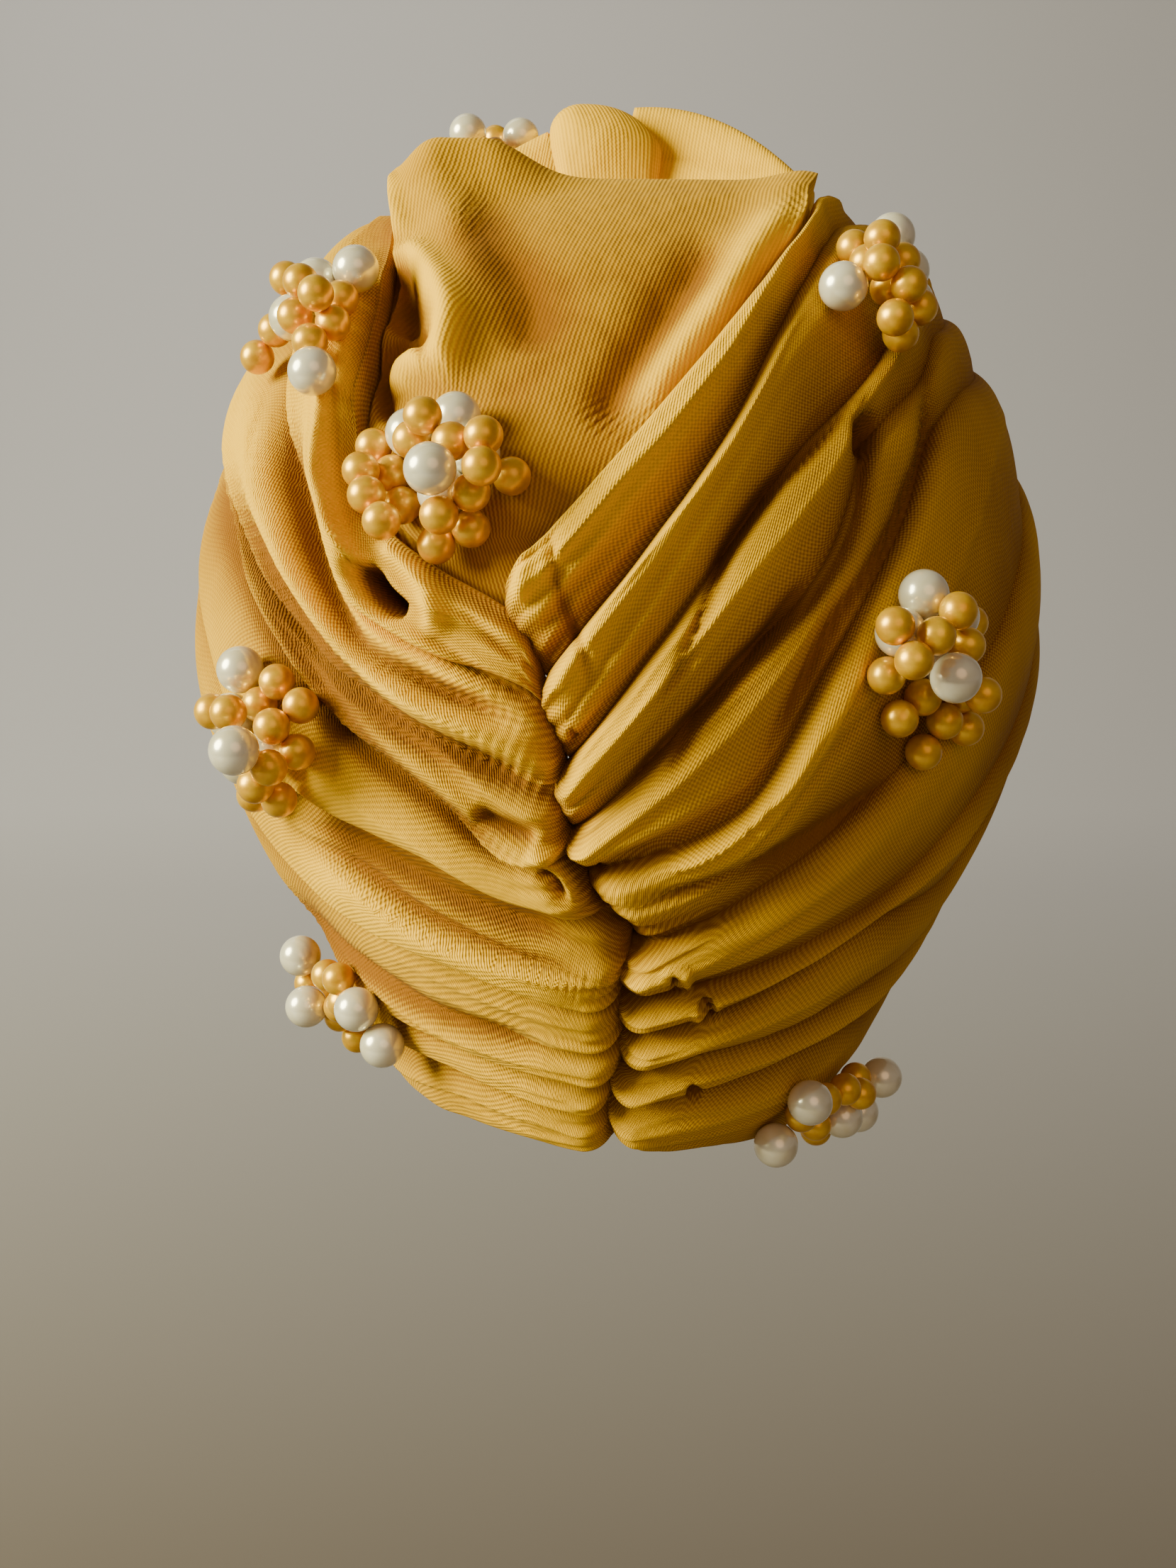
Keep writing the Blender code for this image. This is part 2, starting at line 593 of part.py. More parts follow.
def build():
    clear_scene()
    hat = make_collection("turban_hat")
    helpers = make_collection("bead_helpers")
    jersey = make_material("mustard_jersey", (0.66, 0.36, 0.03), 0.85, 0.3)
    materials = {
        PEARL: make_material("pearl", (0.86, 0.85, 0.80), 0.18),
        GOLD: make_material("gold_bead", (0.72, 0.45, 0.10), 0.35),
    }
    sheets = [
        add_wing("left_wing", LEFT_VALLEYS, LEFT_BULGES, 1, jersey, hat),
        add_wing("right_wing", RIGHT_VALLEYS, RIGHT_BULGES, -1, jersey, hat),
        add_crown(jersey, hat),
        add_band(jersey, hat),
    ]
    trees = cloth_trees(sheets)
    for row in CLUSTERS:
        add_cluster(row, trees, materials, hat, helpers)


build()
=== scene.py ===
"""Turban hat: the folded jersey, the sewn beads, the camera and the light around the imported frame.

Lengths are in millimetres up to the point where a mesh is made. Places on the cloth are given as a
turn about the upright axis, 0 at the back and 180 at the front, and a rise above the level through
the head's middle, both in degrees. The tables of the main form repeat those of the part's source.
"""

import bmesh
import bpy
import numpy as np
from mathutils import Euler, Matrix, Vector
from mathutils.bvhtree import BVHTree


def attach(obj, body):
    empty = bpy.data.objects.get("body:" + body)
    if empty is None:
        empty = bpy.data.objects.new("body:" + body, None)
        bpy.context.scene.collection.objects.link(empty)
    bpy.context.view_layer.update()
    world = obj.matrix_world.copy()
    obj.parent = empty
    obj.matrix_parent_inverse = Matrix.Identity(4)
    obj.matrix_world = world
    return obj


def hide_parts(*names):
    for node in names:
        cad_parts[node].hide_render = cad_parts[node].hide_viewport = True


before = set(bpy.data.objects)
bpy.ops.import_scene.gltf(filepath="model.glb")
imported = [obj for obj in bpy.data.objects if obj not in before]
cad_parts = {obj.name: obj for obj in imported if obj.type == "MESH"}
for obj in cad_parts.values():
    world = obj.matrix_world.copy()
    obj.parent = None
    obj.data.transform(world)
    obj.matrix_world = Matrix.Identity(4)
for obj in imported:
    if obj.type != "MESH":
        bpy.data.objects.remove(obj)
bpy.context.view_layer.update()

MM = 0.001

# Sizes of the cloth
HEAD_MIDDLE = np.array([0.0, 0.0, -82.0])
UNDERLAP = 6.0
UNDER_DEPTH = 3.2
EDGE_ABOVE = 0.8
FRONT_DEPTH = 2.0
FRONT_ROUND = 14.0
WING_END_TURN = 175.0
COVERED_BY = 0.6
FREE_HEIGHT = 60.0
PLEAT_ROUND = 0.8
UNEVEN_RATE = 4.0
SHARPER_CREST = 0.1
SOFTER_FALL = 0.5

# How each wing turns in at the seam and climbs to its crests. Here and below, a pair of numbers is
# for the left and the right wing
SEAM_ROUND = (7.0, 5.5)
SEAM_NOSE = (-0.4, 2.8)
STEEP_SIDE = (3.4, 6.5)

# How finely the cloth is divided
PLEAT_ROWS = (48, 36)
WING_COLUMNS = (215, 260)
COLUMN_CROWDING = 1.5
CROWN_ROWS = (100, 80, 70)
CROWN_ROW_ENDS = (0.0, 6.0, 8.6, 14.0)
CROWN_ACROSS = 220
BAND_ROWS = 300
BAND_ACROSS = 90
FOLD_STEPS = 25
STROKE_STEPS = 40

# Small gathers and creases inside the pleats
GATHER_HEIGHT = 0.55
GATHER_PITCH = 2.4
GATHER_REACH = 7.0
GATHER_LOSS = 0.5
GATHER_SWAY = 3.0
GATHER_SWAY_SCALE = 7.0
FULL_BULGE = 4.0
INSIDE_POWER = 0.6
SUBFOLD_HEIGHT = 1.0
SUBFOLD_MIDDLE = 0.7
SUBFOLD_REACH = 42.0
SUBFOLD_FAR = 0.12
SUBFOLD_FAR_SCALE = 21.0
SUBFOLD_SWAY = 0.35
SUBFOLD_SWAY_SCALE = 16.0
FINE_SHARE = 0.6
FINE_COUNT = 2.3
FINE_REACH = 16.0
LAPS = (
    # place between the two valleys, height, width above the edge, how far it runs from the seam
    (0.18, 1.4, 1.4, 30.0),
    (0.40, 1.9, 2.0, 46.0),
    (0.62, 1.5, 1.6, 26.0),
    (0.84, 1.6, 1.6, 38.0),
)
LAP_DROP = 0.7
LAP_WANDER = 0.09
LAP_WANDER_SCALE = 13.0
LAP_FULL_PITCH = 9.0
LAP_UNEVEN = 0.45
LAP_END_POWER = 1.5
CRINKLE_HEIGHT = 0.16
CRINKLE_SCALE = 5.5
EVEN_ROWS = 26

# Painted shade and light: the tone of the cloth follows its height above the smooth form, so valleys and
# creases are painted darker and crests and ridges lighter. The band gets one even tone
TONE_IN_VALLEY = 0.04
TONE_RANGE = 6.0
TONE_OF_STROKES = 3.2
TONE_OF_BAND = 0.75

# The view from behind, which gives the places of single folds and of the clusters
CAMERA = np.array([6.4, 348.0, -11.0])
CAMERA_PITCH = 16.0
FOCAL_PIXELS = 2400.0
PHOTO_HEIGHT = 2212.0
SENSOR = 36.0
SEEN_AT = 260.0

# Radius of each kind of bead, and how the beads lie
PEARL = 4.0
GOLD = 3.0
BEAD_OVERLAP = 0.12
SEAT_GAP = 0.05
CLUSTER_HEIGHT = 7.0
SETTLE_START = 50.0
SETTLE_END = 12.0
SETTLE_ENOUGH = 0.03
BACK_STEP = 0.1
DRAW_TRIES = 14
DRAW_LIMIT = 2.5
BEAD_SIDES = 32
BEAD_RINGS = 20
BEAD_SPIN = (0.9, 1.7, 2.3)

# The two knits of the cloth, with their pitches in millimetres
KNITS = (
    # name, rib pitch, stitch pitch, share of the ribs, bump strength, share in the tone
    ("jersey_ribs", 0.8, 0.9, 0.7, 0.32, 0.2),
    ("jersey_stitches", 0.85, 0.9, 0.15, 0.6, 0.3),
)

# Parts of the materials. The distances of bumps are in metres, as Blender takes them
NOISES = {
    # name: scale, detail, distortion
    "fuzz": (1600.0, 3.0, 0.0),
    "crinkle": (190.0, 4.0, 0.0),
    "patches": (26.0, 3.0, 0.0),
    "swirl": (170.0, 2.0, 1.6),
    "spots": (420.0, 3.0, 0.0),
}
BUMPS = {
    # name: strength, distance
    "fuzz": (0.35, 0.00012),
    "crinkle": (0.5, 0.0009),
    "spots": (0.25, 0.0002),
}
KNIT_DISTANCE = 0.0002
RAMPS = {
    # name: position and colour of the dark end, then of the light end
    # jersey: painted shade for valleys and creases at the dark end, painted light for crests at the light
    # end
    "jersey": ((0.0, (0.24, 0.088, 0.001)), (0.95, (0.90, 0.51, 0.003))),
    "pearl": ((0.3, (0.80, 0.73, 0.50)), (0.7, (0.90, 0.86, 0.70))),
    "gold": ((0.3, (0.72, 0.35, 0.005)), (0.7, (0.92, 0.55, 0.02))),
    # floor: painted shadow, dark and warm in a band below the hat, pale further off
    "floor": ((0.05, (0.085, 0.064, 0.048)), (0.95, (0.465, 0.445, 0.465))),
}
FINISHES = {
    "jersey": {"Sheen Weight": 0.06, "Sheen Roughness": 0.45, "Sheen Tint": (1.0, 0.86, 0.45, 1.0),
               "Specular IOR Level": 0.1},
    "pearl": {"Metallic": 0.35, "Roughness": 0.24, "Coat Weight": 0.8, "Coat Roughness": 0.06},
    "gold": {"Metallic": 0.55, "Roughness": 0.34, "Coat Weight": 0.15, "Coat Roughness": 0.15},
    "floor": {"Roughness": 0.8},
}
PATCH_TONE = 0.7
JERSEY_ROUGHNESS = 0.62
FUZZ_ROUGHNESS = 0.2

# The studio, in metres and watts
FLOOR_LEVEL = -0.42
FLOOR_REACH = 3.0
FLOOR_BEND = 0.8
FLOOR_STEPS = 14
WALL_AT = -1.6
WORLD_COLOUR = (1.0, 0.90, 0.80, 1.0)
WORLD_STRENGTH = 0.2
LIGHTS = (
    # name, position, target, size, power, colour
    ("key", (1.12, 0.32, 0.42), (0.0, 0.0, -0.06), 0.75, 50.0, (1.0, 0.98, 0.66)),
    ("fill", (-0.3, 1.0, 0.5), (0.0, 0.0, -0.06), 0.9, 2.2, (1.0, 0.60, 0.34)),
    ("back_wall", (0.5, -0.75, 0.9), (0.0, -1.7, 0.2), 0.9, 6.0, (0.93, 0.95, 1.0)),
)

# The smooth form under the pleats: distance from the head's middle at the sides, back and front
DOME = (
    # rise, side, back, front
    (-60, 89.0, 118.0, 110.0),
    (-45, 81.0, 107.0, 102.0),
    (-37, 78.5, 102.0, 98.0),
    (-28, 78.0, 99.0, 96.0),
    (-17, 79.0, 96.5, 95.0),
    (0, 82.0, 95.5, 97.0),
    (20, 84.5, 95.0, 101.0),
    (40, 89.0, 94.0, 105.0),
    (60, 95.0, 93.0, 104.0),
    (75, 96.0, 92.0, 98.0),
    (90, 93.0, 93.0, 93.0),
)

# The back seam: turn towards the wearer's left
SEAM = (
    # rise, turn
    (-43, 0.0),
    (-38, 1.0),
    (-30, -0.5),
    (-23, 0.0),
    (-17, -1.0),
    (-10, 4.0),
    (-5, 5.5),
    (3, 6.0),
    (9, 8.0),
    (18, 12.0),
)

# How deep the seam draws the wings in: little at the V, most lower down
SEAM_DEPTHS = (
    # rise, depth
    (-10.0, 6.5),
    (0.0, 4.5),
    (9.0, 3.0),
    (18.0, 2.5),
)

# Every valley between two pleats: its rise at the seam, and where it passes each turn
TURNS = (10.0, 20.0, 30.0, 45.0, 60.0, 90.0, 130.0, 172.0)
RIGHT_VALLEYS = (
    # name, at seam, then at turns 10, 20, 30, 45, 60, 90, 130, 172
    ("panel edge", 18, 41, 49, 55, 61, 65, 67, 58, 46),
    ("roll one", 9, 31, 43, 51, 58, 61, 61, 51, 39),
    ("roll two", 1, 21, 31, 37, 45, 51, 54, 45, 34),
    ("slit", -6, 9, 19, 32, 39, 45, 47, 39, 30),
    ("long valley", -10, -4, 10, 21, 34, 38, 40, 34, 26),
    ("middle", -18, -14, -8, -1, 8, 17, 27, 28, 22),
    ("ear", -24, -22, -20, -17, -10, -2, 14, 21, 18),
    ("under ear", -28, -26, -23, -20, -21, -14, 3, 14, 14),
    ("nape one", -33, -31, -31, -31, -31, -26, -7, 8, 11),
    ("nape two", -37, -36, -36, -37, -41, -36, -14, 1, 8),
    ("hem", -43, -45, -48, -51, -51, -43, -21, -5, 5),
)
LEFT_VALLEYS = (
    ("panel edge", 10, 14, 19, 25, 50, 59, 65, 57, 46),
    ("lip", 5, 8, 11, 16, 31, 46, 57, 50, 39),
    ("deep valley", -1, 1, 6, 9, 18, 28, 40, 40, 32),
    ("side", -8, -8, -2, 3, 14, 24, 34, 33, 27),
    ("middle", -14, -12, -9, -7, -3, 8, 22, 27, 22),
    ("ear", -24, -22, -20, -19, -15, -6, 11, 20, 18),
    ("under ear", -29, -29, -28, -27, -27, -20, 0, 13, 14),
    ("nape one", -34, -33, -33, -34, -36, -29, -8, 7, 11),
    ("nape two", -38, -37, -37, -39, -43, -36, -15, 0, 8),
    ("hem", -43, -43, -44, -47, -50, -43, -21, -5, 5),
)

# How far the pleats under each valley stand out, at the seam and further round
BULGE_TURNS = (0.0, 12.0, 30.0, 60.0, 95.0, 135.0, 158.0, 170.0)
RIGHT_BULGES = (
    # at turns 0, 12, 30, 60, 95, 135, 158, 170
    (5.5, 5.0, 3.6, 2.6, 2.0, 2.5, 3.0, 1.0),
    (5.0, 4.5, 3.2, 2.2, 2.0, 2.5, 3.0, 1.0),
    (4.0, 3.8, 2.8, 2.0, 2.0, 2.5, 3.0, 1.0),
    (3.5, 3.0, 2.4, 1.8, 2.0, 2.5, 3.0, 1.0),
    (4.0, 3.8, 2.8, 2.0, 2.0, 2.5, 3.0, 1.0),
    (4.0, 3.6, 2.6, 2.0, 2.0, 2.5, 3.0, 1.0),
    (3.0, 2.5, 2.0, 1.5, 1.5, 2.0, 2.5, 0.8),
    (3.5, 3.0, 2.2, 1.7, 1.5, 2.0, 2.5, 0.8),
    (3.0, 2.5, 2.0, 1.5, 1.5, 1.5, 2.0, 0.8),
    (3.5, 3.0, 2.2, 1.7, 1.5, 1.5, 2.0, 0.8),
)
LEFT_BULGES = (
    (0.5, 3.0, 4.5, 4.0, 2.5, 2.5, 3.0, 1.0),
    (4.5, 5.5, 6.0, 5.0, 2.5, 2.5, 3.0, 1.0),
    (4.5, 4.8, 4.2, 3.0, 2.0, 2.5, 3.0, 1.0),
    (4.5, 4.8, 4.4, 3.0, 2.0, 2.5, 3.0, 1.0),
    (4.8, 4.8, 4.4, 3.2, 2.0, 2.5, 3.0, 1.0),
    (4.0, 3.6, 3.0, 2.2, 1.5, 2.0, 2.5, 0.8),
    (4.0, 3.6, 3.0, 2.2, 1.5, 2.0, 2.5, 0.8),
    (3.4, 3.0, 2.4, 1.8, 1.5, 1.5, 2.0, 0.8),
    (3.2, 3.2, 2.6, 2.0, 1.5, 1.5, 2.0, 0.8),
)

# Where each pleat is highest between its two valleys, how far its crest leans up, and how many
# smaller folds run inside it
RIGHT_STYLES = (
    # crest, lean, smaller folds
    (0.26, 1.6, 1.4),
    (0.28, 1.6, 1.7),
    (0.30, 1.2, 1.5),
    (0.36, 0.9, 1.3),
    (0.34, 1.2, 2.2),
    (0.36, 1.0, 2.4),
    (0.42, 0.5, 1.4),
    (0.44, 0.5, 1.6),
    (0.44, 0.3, 1.3),
    (0.45, 0.3, 1.6),
)
LEFT_STYLES = (
    (0.62, -1.2, 1.2),
    (0.74, -2.6, 2.6),
    (0.72, -2.3, 2.3),
    (0.70, -2.0, 2.2),
    (0.72, -2.2, 2.6),
    (0.66, -1.5, 1.6),
    (0.64, -1.3, 1.6),
    (0.60, -0.9, 1.4),
    (0.58, -0.7, 1.6),
)

# How the free edges curl: how far in, and how far towards the hem
PANEL_EDGE_CURL = ((5.2, 2.0), (4.0, 1.0), (2.4, 0.4), (1.0, 0.0))
HEM_CURL = ((0.3, 0.5), (1.0, 0.8), (1.8, 0.7), (2.4, 0.2), (2.6, -0.8), (2.7, -3.0), (2.8, -7.0))

# Cross-sections of the crown panel from the V over the ridge to the brow
CROWN_SECTIONS = (
    # name, left turn, left lift, middle point, right lift, right turn
    ("low", 21, 0.5, (22, 83, -47), 0.5, -9),
    ("lap", 31, 0.5, (24, 78, -38), 0.5, -3),
    ("waist", 36, 0.5, (20, 71, -27), 0.5, 5),
    ("chest", 42, 1.0, (17, 62, -17), 1.0, 13),
    ("shoulder", 49, 2.5, (13, 50, -7), 1.5, 24),
    ("under ridge", 57, 5.0, (8, 34, 2), 3.0, 42),
    ("below ridge", 66, 7.5, (5, 22, 7), 6.0, 60),
    ("ridge", 74, 9.5, (3, 12, 10), 7.0, 72),
    ("behind ridge", 84, 10.0, (2, 3, 5), 6.0, 84),
    ("hollow", 98, 5.0, (2, -12, 1), 5.0, 93),
    ("rise", 112, 5.0, (0, -27, 10), 7.0, 100),
    ("lobe", 122, 6.0, (-4, -44, 28), 7.0, 108),
    ("front slope", 135, 3.0, (-2, -60, 18), 2.0, 126),
    ("brow", 150, 1.0, (-1, -70, 5), 1.0, 146),
    ("front edge", 163, 0.5, (0, -72, -5), 0.5, 163),
)
CROWN_TIP = (
    # name, left turn, left rise, right turn, right rise: the end hidden under both wings
    ("tip", 18, 10, 4, 12),
    ("v", 20, 14, 4, 17),
)
CROWN_LEAN = 0.6
LOOK_AHEAD = 0.5
# Painted light and shade on the crown: darker from the V up to below the ridge, lighter over the ridge,
# lobe and front
CROWN_TONES = ((0.0, 6.0, 7.5, 9.0, 14.0), (0.24, 0.42, 0.70, 1.0, 1.0))
CROWN_FOLDS = (
    # name, start, bend, end, half width, height
    ("left fold", (35, 20, 8), (22, 46, -2), (30, 62, -22), 6.5, 3.0),
    ("ridge peak", (31, 12, 12), (28, 12, 12), (24, 12, 12), 9.0, 8.0),
    ("right edge fold", (-33, 12, 10), (-28, 36, 1), (-16, 56, -11), 6.0, 2.0),
)

# The upright band over the front gathers, from inside the brow up to the knot fold on top
BAND_SECTIONS = (
    # name, centre x, rise, height, half width, swell
    ("inside hem", 0, 12, -7.5, 11, 0.2),
    ("inside fold", 0, 4, -7.5, 11, 0.2),
    ("under hem", 0, 1.5, -1.5, 12, 0.4),
    ("brow", 0, 4.5, 4.6, 13, 1.0),
    ("forehead", 0, 12, 6.2, 14, 2.0),
    ("middle", 0, 24, 6.4, 15, 2.0),
    ("upper", 1, 37, 6.6, 15, 2.0),
    ("slope", 2, 50, 9.0, 14, 2.5),
    ("top front", 4, 60, 15.0, 11, 2.0),
    ("knot", 6, 67, 17.5, 8.5, 2.0),
    ("knot top", 5, 72, 16.0, 9.5, 2.5),
    ("knot back", 2.5, 75.5, 9.0, 11.5, 2.0),
    ("tuck", 2, 77, -1.5, 10, 1.0),
)
BAND_WALL = 1.6
BAND_SIDE_DROP = 1.0
BAND_ROOM = 2.0
BAND_REACH = 1.0
BAND_SLOPE = 7.0
BAND_OUTSIDE = 3
BAND_EDGE_ROLL = 2.6
BAND_FULL_SWELL = 2.0
RIPPLE_HEIGHT = 0.3
RIPPLE_COUNT = 9.0
RIPPLE_SWAY = 0.9
RIPPLE_SWAY_SCALE = 1.1
RIPPLE_END = 9.5

# Single folds as the viewer behind the hat sees them, in millimetres right and up of the middle of
# the view at SEEN_AT in front of the camera. A ridge is round, a crease is sharp, and an edge is a
# lap that falls off on its right-hand side going along the line
RIDGE = "ridge"
CREASE = "crease"
EDGE = "edge"
EDGE_DROP = 0.8
EDGE_DROP_SHARE = 0.25
CREASE_POWER = 1.6
STROKE_SPREAD = 5.0
STROKE_FADE = 0.22
BACK_BEGINS = 8.0
CROWN_STROKES = (
    # name, kind, width, height, line
    ("s fold", RIDGE, 2.8, 3.2,
     ((-28.3, 84), (-25.9, 80), (-22.7, 75.4), (-21.1, 71), (-21.6, 66.7), (-24, 61))),
    ("ear hollow", CREASE, 1.9, 4.6, ((-29.2, 81), (-28.6, 76.5), (-27.9, 72), (-28.6, 68))),
    ("wide hollow", CREASE, 5.0, 1.6, ((-21, 90), (-14, 82), (-9, 74), (-9, 64))),
    ("corner edge", RIDGE, 1.8, 1.3, ((-31, 94), (-29.7, 87.5), (-28.5, 83))),
    ("loop crease", CREASE, 1.1, 3.2,
     ((-22.7, 69), (-26.5, 68), (-30.3, 65.6), (-31.6, 62.4), (-31.2, 58), (-30, 54))),
    ("loop", RIDGE, 1.8, 2.4, ((-24.4, 65.4), (-28, 63), (-29, 59))),
    ("right band", RIDGE, 3.4, 2.6, ((35.5, 90), (28, 84), (21, 75), (12.5, 63), (5, 53))),
    ("right band hollow", CREASE, 3.6, 2.0, ((21, 84), (14, 75), (7, 65), (0, 53))),
    ("right corner", RIDGE, 1.6, 1.4, ((36, 91), (33, 85), (30, 79))),
    ("pucker one", CREASE, 2.4, 0.3, ((-8, 76), (4, 78), (15, 72))),
    ("pucker two", CREASE, 2.4, 0.3, ((-14, 70), (-3, 72), (10, 65))),
    ("pucker three", CREASE, 2.2, 0.3, ((-15, 58), (-6, 64), (3, 68))),
)
LEFT_STROKES = (
    ("ear fold", RIDGE, 2.4, 2.6,
     ((-30.5, 80), (-34.1, 76.5), (-36, 72), (-36.8, 66.7), (-36.4, 61), (-35.4, 54))),
    ("ear crease", EDGE, 3.2, 2.4,
     ((-31, 27), (-35.4, 33), (-38.2, 42), (-39.6, 52), (-39.2, 62), (-37.6, 72))),
    ("first fold", RIDGE, 2.3, 3.0,
     ((-40.3, 60), (-41, 49.7), (-38.6, 40.7), (-36.1, 30.5), (-32, 23.8), (-24.7, 19.1), (-16.3, 15.5),
      (-6.7, 12.5))),
    ("under first fold", CREASE, 2.2, 4.2,
     ((-44.6, 60), (-45, 50), (-43, 40), (-40, 30), (-35, 20.6), (-25, 15), (-16.3, 11), (-8, 8.2))),
    ("second fold", RIDGE, 2.6, 3.0,
     ((-51, 62), (-50, 43.8), (-46.9, 35.3), (-43.4, 29.2), (-38.6, 22.1), (-32, 16.4), (-25.9, 11.6),
      (-16.3, 7), (-6.7, 2.8))),
    ("under second fold", CREASE, 2.6, 4.8,
     ((-54.5, 52), (-53.7, 43), (-50.6, 34), (-46, 26), (-39.5, 17.5), (-31.5, 10.5), (-24, 6.4),
      (-17, 3.2), (-9, 0), (-3, -2.6))),
    ("pocket", CREASE, 1.2, 12.0, ((-35, 34), (-32.2, 29.4), (-28, 25.4))),
    ("pocket rim", RIDGE, 1.8, 3.0,
     ((-32.6, 38), (-27.4, 34), (-24, 29), (-23.2, 25.4), (-26, 22.6))),
    ("lip seam", CREASE, 0.8, 1.8, ((-27, 24), (-20, 19.4), (-13, 15), (-7, 12))),
    ("lip fold", CREASE, 0.7, 1.0, ((-20, 26.6), (-15, 22.4), (-10, 17.6))),
    ("side crease", CREASE, 2.0, 3.6,
     ((-52, 34), (-48.5, 26), (-44.4, 18), (-40.5, 11.5), (-35.5, 6), (-29, 0.6), (-22.6, -4.6),
      (-15.5, -9.6), (-8, -13.6))),
    ("eye hollow", CREASE, 1.8, 2.8, ((-18.5, -4.6), (-13, -7), (-7.5, -9.6))),
    ("funnel", RIDGE, 1.2, 1.8, ((-10, -11), (-6.7, -11.5), (-3.2, -14.5), (-1.6, -18.5))),
    ("funnel hollow", CREASE, 0.9, 2.4, ((-8, -13.6), (-5.2, -15), (-3.6, -18.5))),
    ("lower fold", CREASE, 2.1, 3.0,
     ((-45, -5), (-33.5, -10.8), (-26.5, -14.6), (-19.5, -18.5), (-10.6, -21.7), (-1, -23.6))),
    ("crisp fold", EDGE, 2.6, 2.8, ((4, -33), (-13, -28), (-25, -23), (-35, -16), (-44, -9))),
    ("crisp crease", CREASE, 1.7, 2.8,
     ((5, -31.5), (-12, -27), (-24, -21.6), (-34, -14.8), (-44, -7.6))),
    ("nape crease", CREASE, 1.9, 2.6,
     ((-48, -13.4), (-43.7, -19.7), (-38.6, -25.5), (-31, -31.2), (-23.4, -35.7), (-13.8, -38.8),
      (-4, -40.8))),
)
RIGHT_STROKES = (
    ("inner lobe", CREASE, 0.7, 1.6, ((-6.2, 40), (-5.4, 34), (-4.4, 29), (-1.5, 22), (1, 14))),
    ("lobe side", RIDGE, 1.3, 1.2, ((-9.5, 37), (-10.5, 31), (-9.5, 26))),
    ("roll crease", CREASE, 1.1, 1.9, ((29.3, 47.2), (24.4, 40.7), (20.6, 34.2), (19.6, 30))),
    ("roll edge", CREASE, 1.1, 2.3,
     ((42.8, 61.3), (35.8, 52.6), (27.1, 44), (21.2, 35.3), (17.9, 26.6), (14.1, 18), (8.7, 9.3))),
    ("slit", CREASE, 1.0, 4.5, ((42.4, 57.5), (42.3, 54), (42.3, 50))),
    ("slit fold", CREASE, 1.1, 2.3,
     ((42.8, 62), (42.6, 52), (42.3, 44), (40.1, 36.4), (36.3, 29.9), (30, 22))),
    ("kink", CREASE, 1.1, 2.6, ((33.6, 32), (30, 25), (22.8, 18), (16.3, 9.3), (12, 0))),
    ("long fold", CREASE, 1.2, 2.2,
     ((52, 67), (52, 54.8), (48.8, 44), (43.4, 33), (38, 25.6), (32.5, 14.7), (26, 3))),
    ("middle fold", CREASE, 1.1, 2.1, ((33, 32), (24, 18), (13, 7), (4, -3))),
    ("low fold", EDGE, 2.4, 1.8, ((6, -14), (16, -12), (28, -3), (38, 10), (45, 24))),
    ("nape fold", CREASE, 1.2, 1.9, ((4, -19), (20, -15), (34, -8), (48, 2))),
    ("ring", RIDGE, 0.7, 1.2,
     ((10.5, -30.4), (12.5, -28.6), (15, -29.4), (15.2, -31.4), (12.5, -32.4))),
    ("ring hole", CREASE, 0.6, 1.8, ((12.6, -30.4), (13.8, -30.6))),
    ("pucker hole", CREASE, 0.8, 3.0, ((17, -33.8), (19.6, -34.4))),
    ("pucker rim", RIDGE, 0.9, 1.1, ((15.6, -35.4), (18.6, -36.2), (21.4, -34.8))),
    ("low hole", CREASE, 0.8, 2.6, ((15, -47), (17.4, -47.8))),
    ("seam hole one", CREASE, 0.5, 1.6, ((-3, 8.2), (-1.8, 7.2))),
    ("seam hole two", CREASE, 0.5, 1.8, ((1.2, -12.4), (2.6, -13.4))),
)
FRONT_STROKES = {
    "crown_cloth": (("lobe fold", CREASE, 1.0, 0.8, ((8, 96.4), (14, 96), (20, 94.8), (29, 94.2))),),
    "band_cloth": (("knot slope", RIDGE, 3.0, 1.2, ((-5, 103), (-1, 99), (3, 95))),),
}

